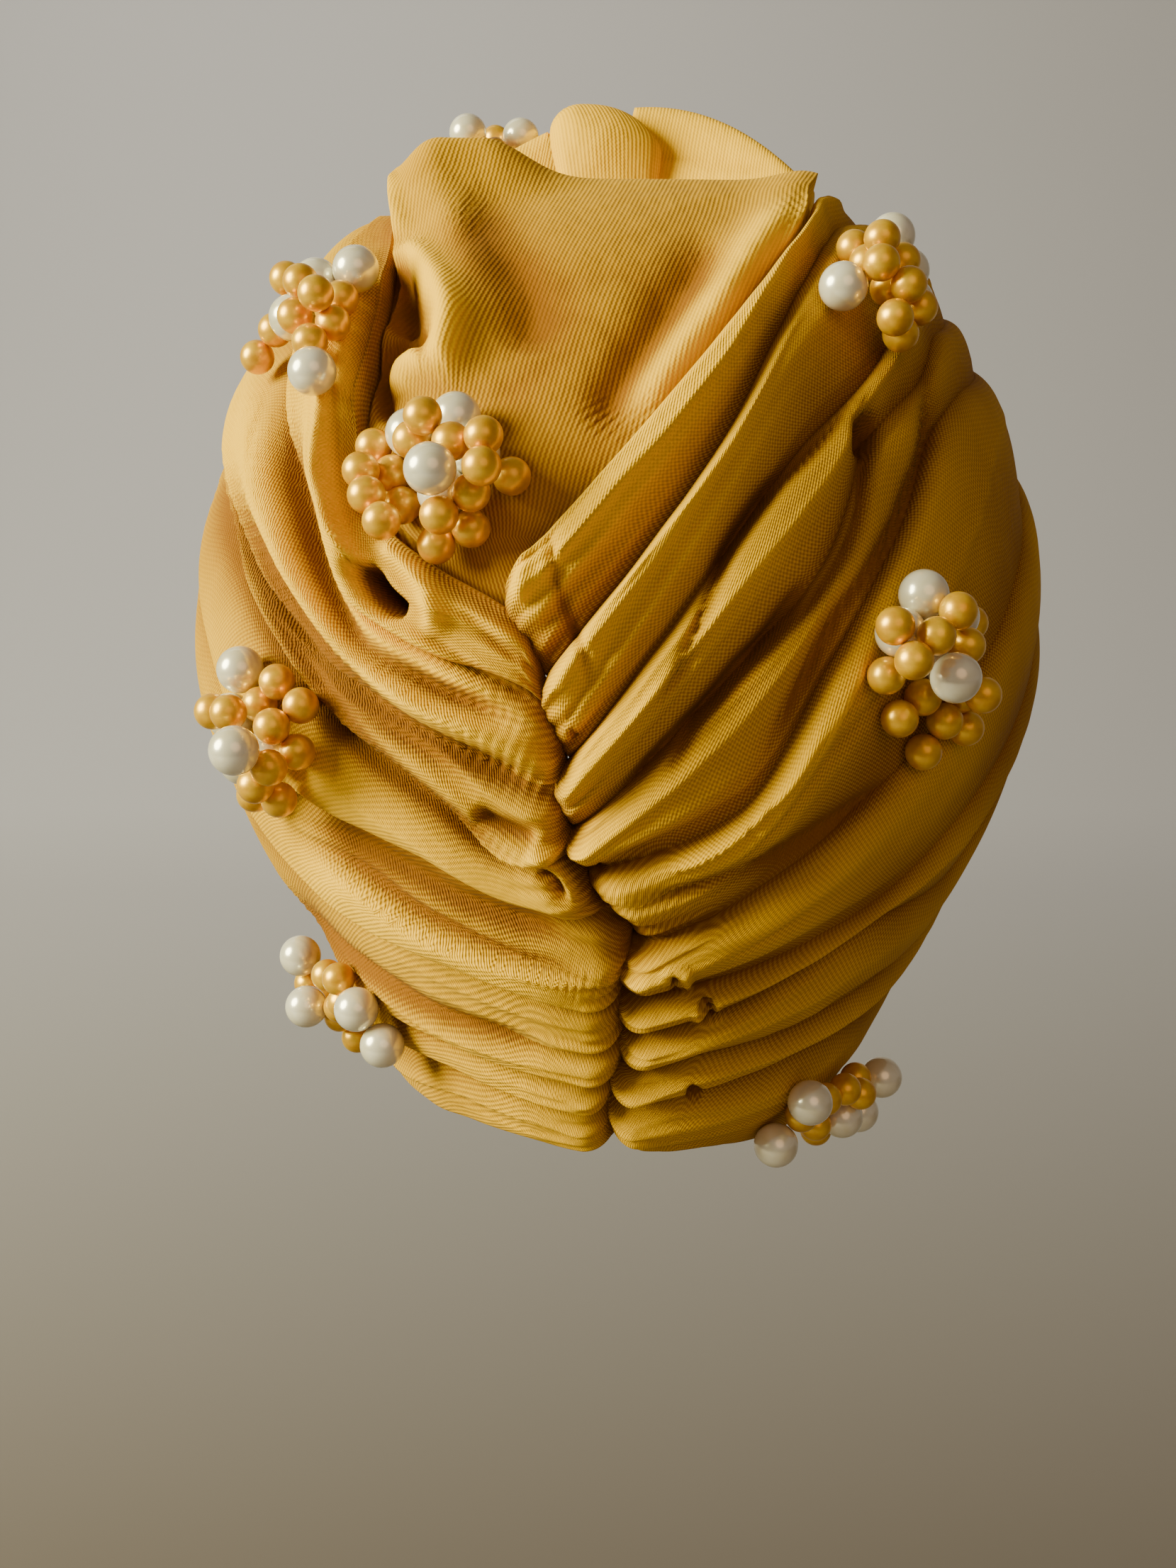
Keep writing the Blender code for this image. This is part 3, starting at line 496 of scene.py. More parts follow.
# The sewn clusters, each with its beads from the cloth outwards, in groups of one kind. A spot is
# millimetres right and up of the cluster's middle, as a viewer behind the hat sees it or square to
# the cloth
SEEN = "seen"
SQUARE = "square"
CLUSTERS = (
    # name, turn, rise, how measured, groups of beads
    ("a", 20, 27, SEEN, (
        (PEARL, ((4.3, 7.9), (-12.2, 2.5), (12.3, -8.4), (-6.6, -13.4))),
        (GOLD, ((3.3, 4), (-6.4, -1.6), (1.2, -6.9), (-2.7, 4.4), (6.1, -3.6), (8.1, 4.8), (7.6, 0.3),
            (-10.8, -0.2), (-9.9, -3.9), (13.2, -1.7), (-0.9, 7.9), (-7.6, -7.8), (-4.4, -6.1),
            (6.5, -9.7), (-0.3, -12.1), (-9, 3.7))),
        (PEARL, ((0, 0),)))),
    ("b", 36, 0, SEEN, (
        (PEARL, ((-5.6, 13.3), (-8.4, -3.3), (0, -15), (9.2, 2.1))),
        (GOLD, ((-2.6, 7.3), (2.9, -0.9), (-4, -6), (-4, -9.9), (-0.9, 3.4), (4.1, 6.7), (0.7, 11.2),
            (-10.4, 6.4), (-7.7, 6), (-1.7, -3.2), (0.6, -9.3))),
        (PEARL, ((-6.9, -0.2),)))),
    ("c", -29, 7, SEEN, (
        (PEARL, ((-1.8, 14.1), (10.4, 5.4), (-11.9, -4.7), (2.5, -11.5))),
        (GOLD, ((0.5, 7.5), (-2.6, 3.6), (5.7, -3.7), (8.3, -1.2), (6.3, 10.2), (-7, 0.2), (-5.7, 8.7),
            (3.6, 11.6), (5.2, 6.4), (-1.6, -2.7), (6.1, -6.8), (2.6, -5.7), (-5.7, -6.8), (-0.5, -10.9))),
        (PEARL, ((3.8, 1.3),)))),
    ("d", 47, 41, SEEN, (
        (PEARL, ((9.1, 11), (-6.8, 5), (-9.4, -12.3))),
        (GOLD, ((6, 5.6), (4.6, 1.8), (-3.4, 9.8), (2.1, 6.8), (0.8, -0.9), (-1.5, 3.3), (-6.3, 0.2),
            (-0.3, 8.9), (-9, -4.4))),
        (PEARL, ((1, -6.5),)))),
    ("e", -40, 47, SEEN, (
        (PEARL, ((0.3, 8), (7.6, -8.2), (4.1, -5.1))),
        (GOLD, ((5.3, -3.6), (3.3, 0), (1, -9.8), (2.2, 3.8), (-6.4, 3.4), (-6, 6), (-1.3, 7.3),
            (-1.2, 3.4), (0, -0.6), (1.4, -5.1))),
        (PEARL, ((-7.5, -0.5),)))),
    ("f", 150, 63, SQUARE, (
        (GOLD, ((1.5, 1), (1.5, -4), (-3, -5))),
        (PEARL, ((7, 1), (-6, 1), (4, -10))))),
    ("g", 49, -38, SEEN, (
        (PEARL, ((4.8, -1.9),)),
        (GOLD, ((0.3, -0.5), (1.7, 4.4), (-2.1, 4.3), (0, -3.8), (2, -7), (5.5, -7.9), (-1.3, 8.9),
            (-6.6, 4.8), (-7.5, 9.8))),
        (PEARL, ((-5, 8.9), (-4.2, -0.9), (10.2, -10.3))))),
    ("h", -33, -45, SEEN, (
        (PEARL, ((3.7, -0.5), (0.7, -1.7), (9.4, 8.8))),
        (GOLD, ((3.9, 2.8), (3, 5.7), (-0.2, 3.6), (-6, -4.2), (-9.7, -3.1), (-11.7, -5.8), (-7.6, -6.6))),
        (PEARL, ((-4.9, 1.6), (-11.7, -8.3))))),
    ("i", 138, 22, SQUARE, (
        (GOLD, ((0, 3), (1, -3), (5.5, -1), (-5, -1), (1.5, 8), (-6, -5))),
        (PEARL, ((-6, 6), (7, 5), (-2, -9))))),
    ("j", -138, 34, SQUARE, (
        (GOLD, ((-1, 3), (3, -2), (-4, -2), (8, 0), (-2, 9), (0, -7))),
        (PEARL, ((-8, 5), (5, 8), (5, -9))))),
    ("k", -104, 4, SQUARE, (
        (GOLD, ((1, 3), (-1, -3), (-6, 0), (5, -2), (2, 9), (3, -8))),
        (PEARL, ((-5, 7), (8, 4), (-3, -10))))),
)


def smooth_line(at, places, values):
    """Read a curve at the given places. It passes through every value and never overshoots."""
    places = np.asarray(places, float)
    values = np.asarray(values, float)
    step = np.diff(places)
    climb = np.diff(values, axis=0) / step.reshape((-1,) + (1,) * (values.ndim - 1))
    slope = np.empty_like(values)
    slope[0] = climb[0]
    slope[-1] = climb[-1]
    before = climb[:-1]
    after = climb[1:]
    same_way = before * after > 0
    total = np.where(same_way, before + after, 1.0)
    slope[1:-1] = np.where(same_way, 2 * before * after / total, 0.0)
    at = np.clip(np.asarray(at, float), places[0], places[-1])
    cell = np.clip(np.searchsorted(places, at, side="right") - 1, 0, len(step) - 1)
    shape = at.shape + (1,) * (values.ndim - 1)
    width = step[cell].reshape(shape)
    part = ((at - places[cell]) / step[cell]).reshape(shape)
    rise = values[cell + 1] - values[cell]
    bend = slope[cell] * width * part * (1 - part) ** 2 - slope[cell + 1] * width * part ** 2 * (1 - part)
    return values[cell] + rise * part * part * (3 - 2 * part) + bend


def read_table(at, table):
    """Read the other columns of a table at the given places of its first column."""
    table = np.array(table, float)
    return smooth_line(at, table[:, 0], table[:, 1:])


def unit(vectors):
    """The same directions with a length of 1."""
    return vectors / np.linalg.norm(vectors, axis=-1, keepdims=True)


def dome_radius(turn, rise):
    """Distance of the smooth form from the head's middle."""
    side, back, front = read_table(rise, DOME).T
    along = np.cos(np.radians(turn))
    across = np.sin(np.radians(turn))
    ends = np.where(along > 0, back.T, front.T)
    return 1.0 / np.sqrt((along / ends) ** 2 + (across / side.T) ** 2)


def place(turn, rise, radius):
    """A point at a turn, a rise and a distance from the head's middle."""
    turn = np.radians(turn)
    rise = np.radians(rise)
    flat = np.cos(rise)
    way = np.stack([flat * np.sin(turn), flat * np.cos(turn), np.sin(rise)], axis=-1)
    return HEAD_MIDDLE + way * np.asarray(radius)[..., None]


def directions(points):
    """Turn, rise and distance from the head's middle of some points."""
    away = points - HEAD_MIDDLE
    turn = np.degrees(np.arctan2(away[..., 0], away[..., 1]))
    rise = np.degrees(np.arctan2(away[..., 2], np.hypot(away[..., 0], away[..., 1])))
    return turn, rise, np.linalg.norm(away, axis=-1)


def tuck(part):
    """A quarter-round that falls from 0 at a part of 1 to 1 at a part of 0."""
    part = np.clip(part, 0.0, 1.0)
    return 1.0 - np.sqrt(1.0 - (1.0 - part) ** 2)


def wander(seed, at, scale):
    """A slow wave between -1 and 1 that differs with the seed."""
    return 0.6 * np.sin(at / scale + 2.4 * seed) + 0.4 * np.sin(2.3 * at / scale + 5.1 * seed)


def crumple(points, seed, scale):
    """A soft uneven height between about -1 and 1, the same on every run."""
    x, y, z = (points / scale).transpose((points.ndim - 1,) + tuple(range(points.ndim - 1)))
    first = np.sin(x + 1.7 * np.sin(0.8 * y + seed)) * np.cos(1.1 * z + 1.3 * np.sin(0.7 * x + 2 * seed))
    second = np.sin(2.1 * y + 1.9 * np.sin(1.3 * z)) * np.cos(2.3 * x + seed)
    return 0.65 * first + 0.35 * second


def seam_turn(rise):
    """Turn of the back seam at the given rise."""
    return read_table(rise, SEAM)[..., 0]


def wing_line(valley, side, turn):
    """Rise of one valley line at the given turns away from the back."""
    start = side * float(seam_turn(valley[1]))
    return smooth_line(turn, (start,) + TURNS, valley[1:])


def pleat_profile(part, crest):
    """Height of a pleat between two valleys, from 0 to 1: steep to its crest, then a long fall."""
    mirrored = crest > 0.5
    part = np.where(mirrored, 1.0 - part, part)
    crest = np.where(mirrored, 1.0 - crest, crest)
    uneven = np.clip(UNEVEN_RATE * (0.5 - crest), 0.0, 1.0)
    climb = np.sin(0.5 * np.pi * np.clip(part / crest, 0.0, 1.0))
    fall = np.cos(0.5 * np.pi * np.clip((part - crest) / (1.0 - crest), 0.0, 1.0))
    climb = climb ** (PLEAT_ROUND - SHARPER_CREST * uneven)
    return climb * np.maximum(fall, 0.0) ** (PLEAT_ROUND + SOFTER_FALL * uneven)


def wing_surface(valleys, bulges, styles, side):
    """Outer face of a wing with its smaller folds. Returns the points and a painted shade for each from
    how high it lies: dark in the valleys, light on the crests.
    """
    wing = 0 if side > 0 else 1
    count = len(valleys) - 1
    steps = 0.5 - 0.5 * np.cos(np.pi * np.arange(PLEAT_ROWS[wing]) / PLEAT_ROWS[wing])
    rows = np.concatenate([k + steps for k in range(count)] + [[count]])
    columns = np.linspace(0.0, 1.0, WING_COLUMNS[wing]) ** COLUMN_CROWDING
    ends = np.array([row[1] for row in valleys], float)
    upper = np.minimum(rows.astype(int), count - 1)
    part = rows - upper
    level = ends[upper] * (1 - part) + ends[upper + 1] * part
    crest, lean, smaller = np.array(styles)[upper].T[..., None]

    nose = SEAM_NOSE[wing] * np.sin(np.pi * part) ** PLEAT_ROUND
    size = dome_radius(0.0, level) * np.cos(np.radians(level))
    start = side * seam_turn(level) - np.degrees(nose / size)
    turn = start[:, None] + (WING_END_TURN - start[:, None]) * columns[None, :]
    lines = [wing_line(row, side, turn) for row in valleys]
    rise = np.array([lines[k][r] * (1 - part[r]) + lines[k + 1][r] * part[r] for r, k in enumerate(upper)])
    rise[:, 0] = level
    bulge = np.array([smooth_line(turn[r], BULGE_TURNS, bulges[k]) for r, k in enumerate(upper)])
    form = dome_radius(side * turn, rise)
    reach = np.radians(turn - start[:, None]) * form * np.cos(np.radians(rise))
    to_end = np.radians(WING_END_TURN - turn) * form * np.cos(np.radians(rise))
    drawn = tuck(reach / SEAM_ROUND[wing])

    # The pleats themselves
    pitch = np.array([np.abs(lines[k] - lines[k + 1])[r] for r, k in enumerate(upper)])
    pitch = np.radians(pitch) * form
    part = part[:, None]
    steep = STEEP_SIDE[wing] / np.maximum(pitch, 2 * STEEP_SIDE[wing])
    crest = np.where(crest > 0.5, np.maximum(crest, 1.0 - steep), np.minimum(crest, steep))
    profile = pleat_profile(part, crest)
    lift = bulge * profile * (1 - drawn) - read_table(level, SEAM_DEPTHS) * drawn

    # Smaller folds along each pleat
    inside = np.sin(np.pi * part) ** INSIDE_POWER
    seed = (upper + 20 * wing)[:, None]
    waves = smaller * part + SUBFOLD_SWAY * wander(seed, turn, SUBFOLD_SWAY_SCALE)
    near = np.exp(-reach / SUBFOLD_REACH) * (1 - drawn)
    far = SUBFOLD_FAR * (1 + wander(seed + 3, turn, SUBFOLD_FAR_SCALE))
    fold = np.abs(np.sin(np.pi * waves)) ** PLEAT_ROUND - SUBFOLD_MIDDLE
    finer = np.abs(np.sin(FINE_COUNT * np.pi * waves + seed)) ** PLEAT_ROUND - SUBFOLD_MIDDLE
    fold += FINE_SHARE * finer * np.exp(-reach / FINE_REACH)
    lift += SUBFOLD_HEIGHT * inside * fold * (near + far) * (bulge / FULL_BULGE)

    # Laps, whose lower side falls off at once
    for number, (lap_place, height, width, length) in enumerate(LAPS):
        edge = lap_place + LAP_WANDER * wander(seed + 7 * number, turn, LAP_WANDER_SCALE)
        below = (part - edge) * pitch
        lap = np.where(below < 0, np.exp(below / width), np.exp(-((below / LAP_DROP) ** 2)))
        length = length * (1.0 + LAP_UNEVEN * np.sin(3.1 * seed + 2.0 * number))
        fade = np.exp(-((reach / length) ** LAP_END_POWER)) * (1 - drawn)
        lift += height * lap * fade * inside * np.clip(pitch / LAP_FULL_PITCH, 0.0, 1.0)

    # Gathers beside the seam
    rows_apart = np.radians(level)[:, None] * form
    sway = GATHER_SWAY * wander(seed, reach, GATHER_SWAY_SCALE)
    gathers = np.sin(2 * np.pi * rows_apart / GATHER_PITCH + sway)
    lift += GATHER_HEIGHT * gathers * np.exp(-reach / GATHER_REACH) * (1 - GATHER_LOSS * drawn)

    leaned = rise + np.degrees(lean * profile * (bulge / FULL_BULGE) * (1 - drawn) / form)
    radius = form + lift - FRONT_DEPTH * tuck(to_end / FRONT_ROUND)
    points = place(side * turn, leaned, radius)
    # Painted shade and light: low points get a dark tone, high points a light tone
    high = np.clip(TONE_IN_VALLEY + lift / TONE_RANGE, 0.0, 1.0)

    top = [place(side * turn[0], leaned[0] - np.degrees(down / form[0]), radius[0] - deep)
           for deep, down in PANEL_EDGE_CURL]
    low = [place(side * turn[-1], leaned[-1] - np.degrees(down / form[-1]), radius[-1] - deep)
           for deep, down in HEM_CURL]
    points = np.concatenate([np.array(top), points, np.array(low)])
    high = np.concatenate([high[:1]] * len(top) + [high] + [high[-1:]] * len(low))
    return points, high


def fold_height(points, fold):
    """Height that one soft fold adds, by the distance from its bent centre line."""
    start, bend, end, half_width, height = (np.array(value, float) for value in fold[1:])
    steps = np.linspace(0.0, 1.0, FOLD_STEPS)[:, None]
    line = start * (1 - steps) ** 2 + 2 * bend * steps * (1 - steps) + end * steps ** 2
    away = np.full(points.shape[:-1], np.inf)
    for spot in line:
        away = np.minimum(away, np.linalg.norm(points - spot, axis=-1))
    return height * np.exp(-((away / half_width) ** 2))


def keep_under(points):
    """Press the crown panel down where a wing or the front band lies over it."""
    turn, rise, radius = directions(points)
    form = dome_radius(turn, rise)
    limit = np.full(turn.shape, FREE_HEIGHT)
    for valleys, side in ((LEFT_VALLEYS, 1), (RIGHT_VALLEYS, -1)):
        edge = wing_line(valleys[0], side, side * turn)
        beyond = side * (turn - seam_turn(rise))
        over = (rise < edge + COVERED_BY) & (beyond > -COVERED_BY)
        limit = np.where(over, -UNDER_DEPTH, limit)
    _, x, at, height, half, swell = zip(*BAND_SECTIONS[BAND_OUTSIDE:])
    band = smooth_line(rise, at, np.array([x, height, half, swell]).T)
    part = (points[..., 0] - band[..., 0]) / band[..., 2]
    inside = band[..., 1] - BAND_WALL - (band[..., 3] + BAND_SIDE_DROP) * np.minimum(part ** 2, 1.0)
    beside = np.maximum(np.abs(part) - BAND_REACH, 0.0) * band[..., 2]
    covered = (points[..., 1] < 0) & (rise < at[-1])
    limit = np.where(covered, np.minimum(limit, inside - BAND_ROOM + BAND_SLOPE * beside), limit)
    return place(turn, rise, np.minimum(radius, form + limit))


def crown_surface():
    """Outer face of the crown panel, with the hidden margins that lie under the wings."""
    spans = zip(CROWN_ROWS, CROWN_ROW_ENDS, CROWN_ROW_ENDS[1:])
    at = np.concatenate([np.linspace(low, high, count, endpoint=False) for count, low, high in spans])
    at = np.append(at, CROWN_ROW_ENDS[-1])
    numbers = np.array([(*row[1:3], *row[3], *row[4:]) for row in CROWN_SECTIONS], float)
    table = smooth_line(at, np.arange(len(CROWN_SECTIONS)), numbers)
    middle = table[:, 2:5]
    margins = []
    tops = []
    for valleys, side, turn, lift in (
        (LEFT_VALLEYS, 1, table[:, 0], table[:, 1]),
        (RIGHT_VALLEYS, -1, table[:, 6], table[:, 5]),
    ):
        rise = wing_line(valleys[0], side, turn) + EDGE_ABOVE
        foot = place(side * turn, rise, dome_radius(side * turn, rise) - UNDER_DEPTH)
        way = unit(unit(foot - HEAD_MIDDLE) + (0.0, 0.0, CROWN_LEAN))
        ahead = wing_line(valleys[0], side, turn + LOOK_AHEAD) + EDGE_ABOVE - rise
        along = np.hypot(LOOK_AHEAD * np.cos(np.radians(rise)), ahead)
        step = np.degrees(UNDERLAP / dome_radius(side * turn, rise))
        turn_in = side * (turn + step * ahead / along / np.cos(np.radians(rise)))
        rise_in = rise - step * LOOK_AHEAD * np.cos(np.radians(rise)) / along
        margin = place(turn_in, rise_in, dome_radius(turn_in, rise_in) - UNDER_DEPTH)
        margins.append((foot[:, None], margin[:, None]))
        tops.append(foot + way * lift[:, None])
    left, right = tops
    span = np.linspace(-1.0, 1.0, CROWN_ACROSS + 1)[None, :, None]
    flat = 0.5 * (left + right)[:, None, :]
    half = 0.5 * (right - left)[:, None, :]
    belly = middle[:, None, :] - flat
    sheet = flat + half * span + belly * (1 - span ** 2)
    lift = sum(fold_height(sheet, fold) for fold in CROWN_FOLDS)
    sheet = keep_under(sheet + unit(sheet - HEAD_MIDDLE) * lift[..., None])
    (left_foot, left_margin), (right_foot, right_margin) = margins
    sheet = np.concatenate([left_margin, left_foot, sheet, right_foot, right_margin], axis=1)
    tip = []
    for _, left_turn, left_rise, right_turn, right_rise in CROWN_TIP:
        turn = np.linspace(left_turn, right_turn, sheet.shape[1])
        rise = np.linspace(left_rise, right_rise, sheet.shape[1])
        tip.append(place(turn, rise, dome_radius(turn, rise) - UNDER_DEPTH))
    points = np.concatenate([np.array(tip), sheet])
    # Painted light and shade on the crown, by row
    tone = smooth_line(np.append(np.zeros(len(tip)), at), *CROWN_TONES)
    return points, np.repeat(tone[:, None], points.shape[1], axis=1)


def band_surface():
    """Outer face of the front band, whose edges roll in towards the wings."""
    numbers = np.array([row[1:] for row in BAND_SECTIONS], float)
    at = np.linspace(0, len(BAND_SECTIONS) - 1, BAND_ROWS)
    x, rise, height, half, swell = smooth_line(at, np.arange(len(BAND_SECTIONS)), numbers).T
    centre = place(np.full(len(rise), 180.0), rise, dome_radius(180.0, rise) + height)
    centre[:, 0] = x
    along = np.gradient(centre, axis=0)
    along[:, 0] = 0.0
    sideways = np.array([1.0, 0.0, 0.0])
    outward = np.cross(sideways, unit(along))
    span = np.linspace(-1.0, 1.0, BAND_ACROSS + 1)[None, :, None]
    half = half[:, None, None]
    swell = swell[:, None, None]
    lift = -swell * span ** 2 - BAND_SIDE_DROP * span ** 4 * np.minimum(1.0, swell / BAND_FULL_SWELL)
    lift = lift - BAND_EDGE_ROLL * tuck((1 - np.abs(span)) * half / BAND_EDGE_ROLL)
    sway = RIPPLE_SWAY * wander(2, at, RIPPLE_SWAY_SCALE)[:, None, None]
    ripple = np.sin(RIPPLE_COUNT * span + sway) * (1 - span ** 2)
    ripple = ripple * np.clip(RIPPLE_END - at, 0.0, 1.0)[:, None, None]
    points = centre[:, None] + half * span * sideways + outward[:, None] * (lift + RIPPLE_HEIGHT * ripple)
    return points, np.full(points.shape[:-1], TONE_OF_BAND)


def view_axes():
    """The camera's right, up and forward directions."""
    pitch = np.radians(CAMERA_PITCH)
    forward = np.array([0.0, -np.cos(pitch), -np.sin(pitch)])
    upward = np.array([0.0, -np.sin(pitch), np.cos(pitch)])
    return np.array([-1.0, 0.0, 0.0]), upward, forward


def seen(points):
    """Right and up of the middle of the view, in millimetres at SEEN_AT before the camera."""
    right, upward, forward = view_axes()
    away = points - CAMERA
    depth = away @ forward
    return np.stack([away @ right, away @ upward], axis=-1) / depth[..., None] * SEEN_AT


def stroke_height(spots, stroke):
    """Height that one fold of a strokes table adds at the given spots of the view."""
    _, kind, width, height, line = stroke
    line = np.array(line, float)
    lengths = np.append(0.0, np.cumsum(np.linalg.norm(np.diff(line, axis=0), axis=1)))
    steps = np.linspace(0.0, lengths[-1], STROKE_STEPS)
    line = smooth_line(steps, lengths, line)
    tangent = unit(np.gradient(line, axis=0))
    low = line.min(axis=0) - STROKE_SPREAD * width
    high = line.max(axis=0) + STROKE_SPREAD * width
    close = ((spots > low) & (spots < high)).all(axis=-1)
    away = spots[close][:, None, :] - line[None]
    nearest = np.argmin((away ** 2).sum(axis=-1), axis=1)
    offset = away[np.arange(len(nearest)), nearest]
    distance = np.linalg.norm(offset, axis=-1)
    along = tangent[nearest]
    side = along[:, 0] * offset[:, 1] - along[:, 1] * offset[:, 0]
    if kind == RIDGE:
        value = height * np.exp(-((distance / width) ** 2))
    elif kind == CREASE:
        value = -height * np.exp(-((distance / width) ** CREASE_POWER))
    else:
        lap = np.exp(-distance / width)
        drop = np.exp(-((distance / max(EDGE_DROP_SHARE * width, EDGE_DROP)) ** 2))
        value = height * np.where(side > 0, lap, drop)
    end = np.minimum(steps[nearest], lengths[-1] - steps[nearest]) / (STROKE_FADE * lengths[-1])
    end = np.clip(end, 0.0, 1.0)
    result = np.zeros(spots.shape[:-1])
    result[close] = value * end * end * (3 - 2 * end)
    return result


def add_strokes(points, on_back, on_front=()):
    """Lift and lower the cloth along the single folds that show from behind."""
    spots = seen(points)
    behind = points[..., 1] > BACK_BEGINS
    lift = np.zeros(points.shape[:-1])
    for part, strokes in ((behind, on_back), (~behind, on_front)):
        for stroke in strokes:
            lift += np.where(part, stroke_height(spots, stroke), 0.0)
    return points + unit(points - HEAD_MIDDLE) * lift[..., None], lift


def even_out(values):
    """Average each line of numbers with its neighbours, so that the ribs run straight."""
    ends = np.pad(values, ((EVEN_ROWS, EVEN_ROWS), (0, 0)), mode="edge")
    total = np.cumsum(np.pad(ends, ((1, 0), (0, 0))), axis=0)
    width = 2 * EVEN_ROWS + 1
    return (total[width:] - total[:-width]) / width


def add_object(name, data):
    """Put a mesh, a lamp or a camera into the scene."""
    thing = bpy.data.objects.new(name, data)
    bpy.context.scene.collection.objects.link(thing)
    return thing


def cloth_object(name, points, high, material, flip, ribs_across):
    """A grid of points as a smooth sheet, with its threads' directions as UVs in millimetres and its
    painted shade as a colour.
    """
    rows, columns = points.shape[:2]
    number = np.arange(rows * columns).reshape(rows, columns)
    corners = np.stack([number[:-1, :-1], number[:-1, 1:], number[1:, 1:], number[1:, :-1]], axis=-1)
    faces = corners.reshape(-1, 4)
    if flip:
        faces = faces[:, ::-1]
    mesh = bpy.data.meshes.new(name)
    mesh.from_pydata((points.reshape(-1, 3) * MM).tolist(), [], faces.tolist())
    along = np.zeros((rows, columns))
    along[:, 1:] = np.cumsum(np.linalg.norm(np.diff(points, axis=1), axis=-1), axis=1)
    down = np.zeros((rows, columns))
    down[1:] = np.cumsum(np.linalg.norm(np.diff(points, axis=0), axis=-1), axis=0)
    along = even_out(along - along[:, columns // 2:columns // 2 + 1])
    down = even_out(down.T).T
    if ribs_across:
        along, down = down, along
    loops = np.empty(len(mesh.loops), dtype=np.int32)
    mesh.loops.foreach_get("vertex_index", loops)
    uv = np.stack([along.reshape(-1)[loops], down.reshape(-1)[loops]], axis=-1)
    mesh.uv_layers.new(name="threads").data.foreach_set("uv", uv.reshape(-1))
    # Painted shade and light: the 'height' colour attribute holds the tone that darkens valleys and
    # creases and lightens crests
    shade = mesh.color_attributes.new("height", "FLOAT_COLOR", "POINT")
    tone = np.repeat(high.reshape(-1, 1), 4, axis=1)
    tone[:, 3] = 1.0
    shade.data.foreach_set("color", tone.reshape(-1))
    mesh.shade_smooth()
    mesh.materials.append(material)
    return add_object(name, mesh)


def new_material(name):
    """An empty material, its node tree and its shader."""
    material = bpy.data.materials.new(name)
    material.use_nodes = True
    return material, material.node_tree, material.node_tree.nodes["Principled BSDF"]


def maths(tree, operation, first, second=None):
    """A Math node whose inputs are numbers or other nodes' outputs."""
    node = tree.nodes.new("ShaderNodeMath")
    node.operation = operation
    for socket, value in zip(node.inputs, (first, second)):
        if value is None:
            continue
        if isinstance(value, (int, float)):
            socket.default_value = value
        else:
            tree.links.new(value, socket)
    return node.outputs[0]


def set_inputs(node, values):
    """Set constants on a node's own sockets."""
    for name, value in values.items():
        node.inputs[name].default_value = value


def noise_node(tree, name):
    """One of the noises, in the object's own space."""
    spot = tree.nodes.new("ShaderNodeTexCoord")
    noise = tree.nodes.new("ShaderNodeTexNoise")
    set_inputs(noise, dict(zip(("Scale", "Detail", "Distortion"), NOISES[name])))
    tree.links.new(spot.outputs["Object"], noise.inputs["Vector"])
    return noise.outputs["Fac"]


def bump_node(tree, height, strength, distance, under=None):
    """A bump on top of another bump's normal."""
    bump = tree.nodes.new("ShaderNodeBump")
    set_inputs(bump, {"Strength": strength, "Distance": distance})
    tree.links.new(height, bump.inputs["Height"])
    if under is not None:
        tree.links.new(under, bump.inputs["Normal"])
    return bump.outputs[0]


def colour_from(tree, value, name, shader):
    """Colour a shader by a value, with one of the ramps."""
    ramp = tree.nodes.new("ShaderNodeValToRGB")
    for element, (position, colour) in zip(ramp.color_ramp.elements, RAMPS[name]):
        element.position = position
        element.color = (*colour, 1.0)
    tree.links.new(value, ramp.inputs[0])
    tree.links.new(ramp.outputs[0], shader.inputs["Base Color"])


def jersey_material(name, rib_pitch, stitch_pitch, rib_share, knit_strength, knit_tone):
    """Mustard knit: ribs and stitches as bump, painted shade in the folds and painted light on the crests.
    """
    material, tree, shader = new_material(name)
    uv = tree.nodes.new("ShaderNodeUVMap")
    uv.uv_map = "threads"
    split = tree.nodes.new("ShaderNodeSeparateXYZ")
    tree.links.new(uv.outputs[0], split.inputs[0])
    across = maths(tree, "MULTIPLY", split.outputs[0], 2 * np.pi / rib_pitch)
    rows = maths(tree, "MULTIPLY", split.outputs[1], 2 * np.pi / stitch_pitch)
    rib = maths(tree, "MULTIPLY", maths(tree, "SINE", across), rib_share)
    stitch = maths(tree, "MULTIPLY", maths(tree, "COSINE", rows), maths(tree, "COSINE", across))
    knit = maths(tree, "ADD", rib, maths(tree, "MULTIPLY", stitch, 1.0 - rib_share))

    fuzz = noise_node(tree, "fuzz")
    normal = bump_node(tree, knit, knit_strength, KNIT_DISTANCE)
    normal = bump_node(tree, fuzz, *BUMPS["fuzz"], normal)
    normal = bump_node(tree, noise_node(tree, "crinkle"), *BUMPS["crinkle"], normal)
    tree.links.new(normal, shader.inputs["Normal"])

    # Painted shade and light from the 'height' attribute, with random patches and the knit added to it
    height = tree.nodes.new("ShaderNodeVertexColor")
    height.layer_name = "height"
    patches = maths(tree, "SUBTRACT", noise_node(tree, "patches"), 0.5)
    tone = maths(tree, "ADD", height.outputs["Color"], maths(tree, "MULTIPLY", patches, PATCH_TONE))
    tone = maths(tree, "ADD", tone, maths(tree, "MULTIPLY", knit, knit_tone))
    colour_from(tree, tone, "jersey", shader)
    rough = maths(tree, "ADD", maths(tree, "MULTIPLY", fuzz, FUZZ_ROUGHNESS), JERSEY_ROUGHNESS)
    tree.links.new(rough, shader.inputs["Roughness"])
    set_inputs(shader, FINISHES["jersey"])
    return material


def pearl_material():
    """Imitation pearl: milky lacquer with a slow warm and cool swirl under a clear coat."""
    material, tree, shader = new_material("pearl_lacquer")
    colour_from(tree, noise_node(tree, "swirl"), "pearl", shader)
    set_inputs(shader, FINISHES["pearl"])
    return material


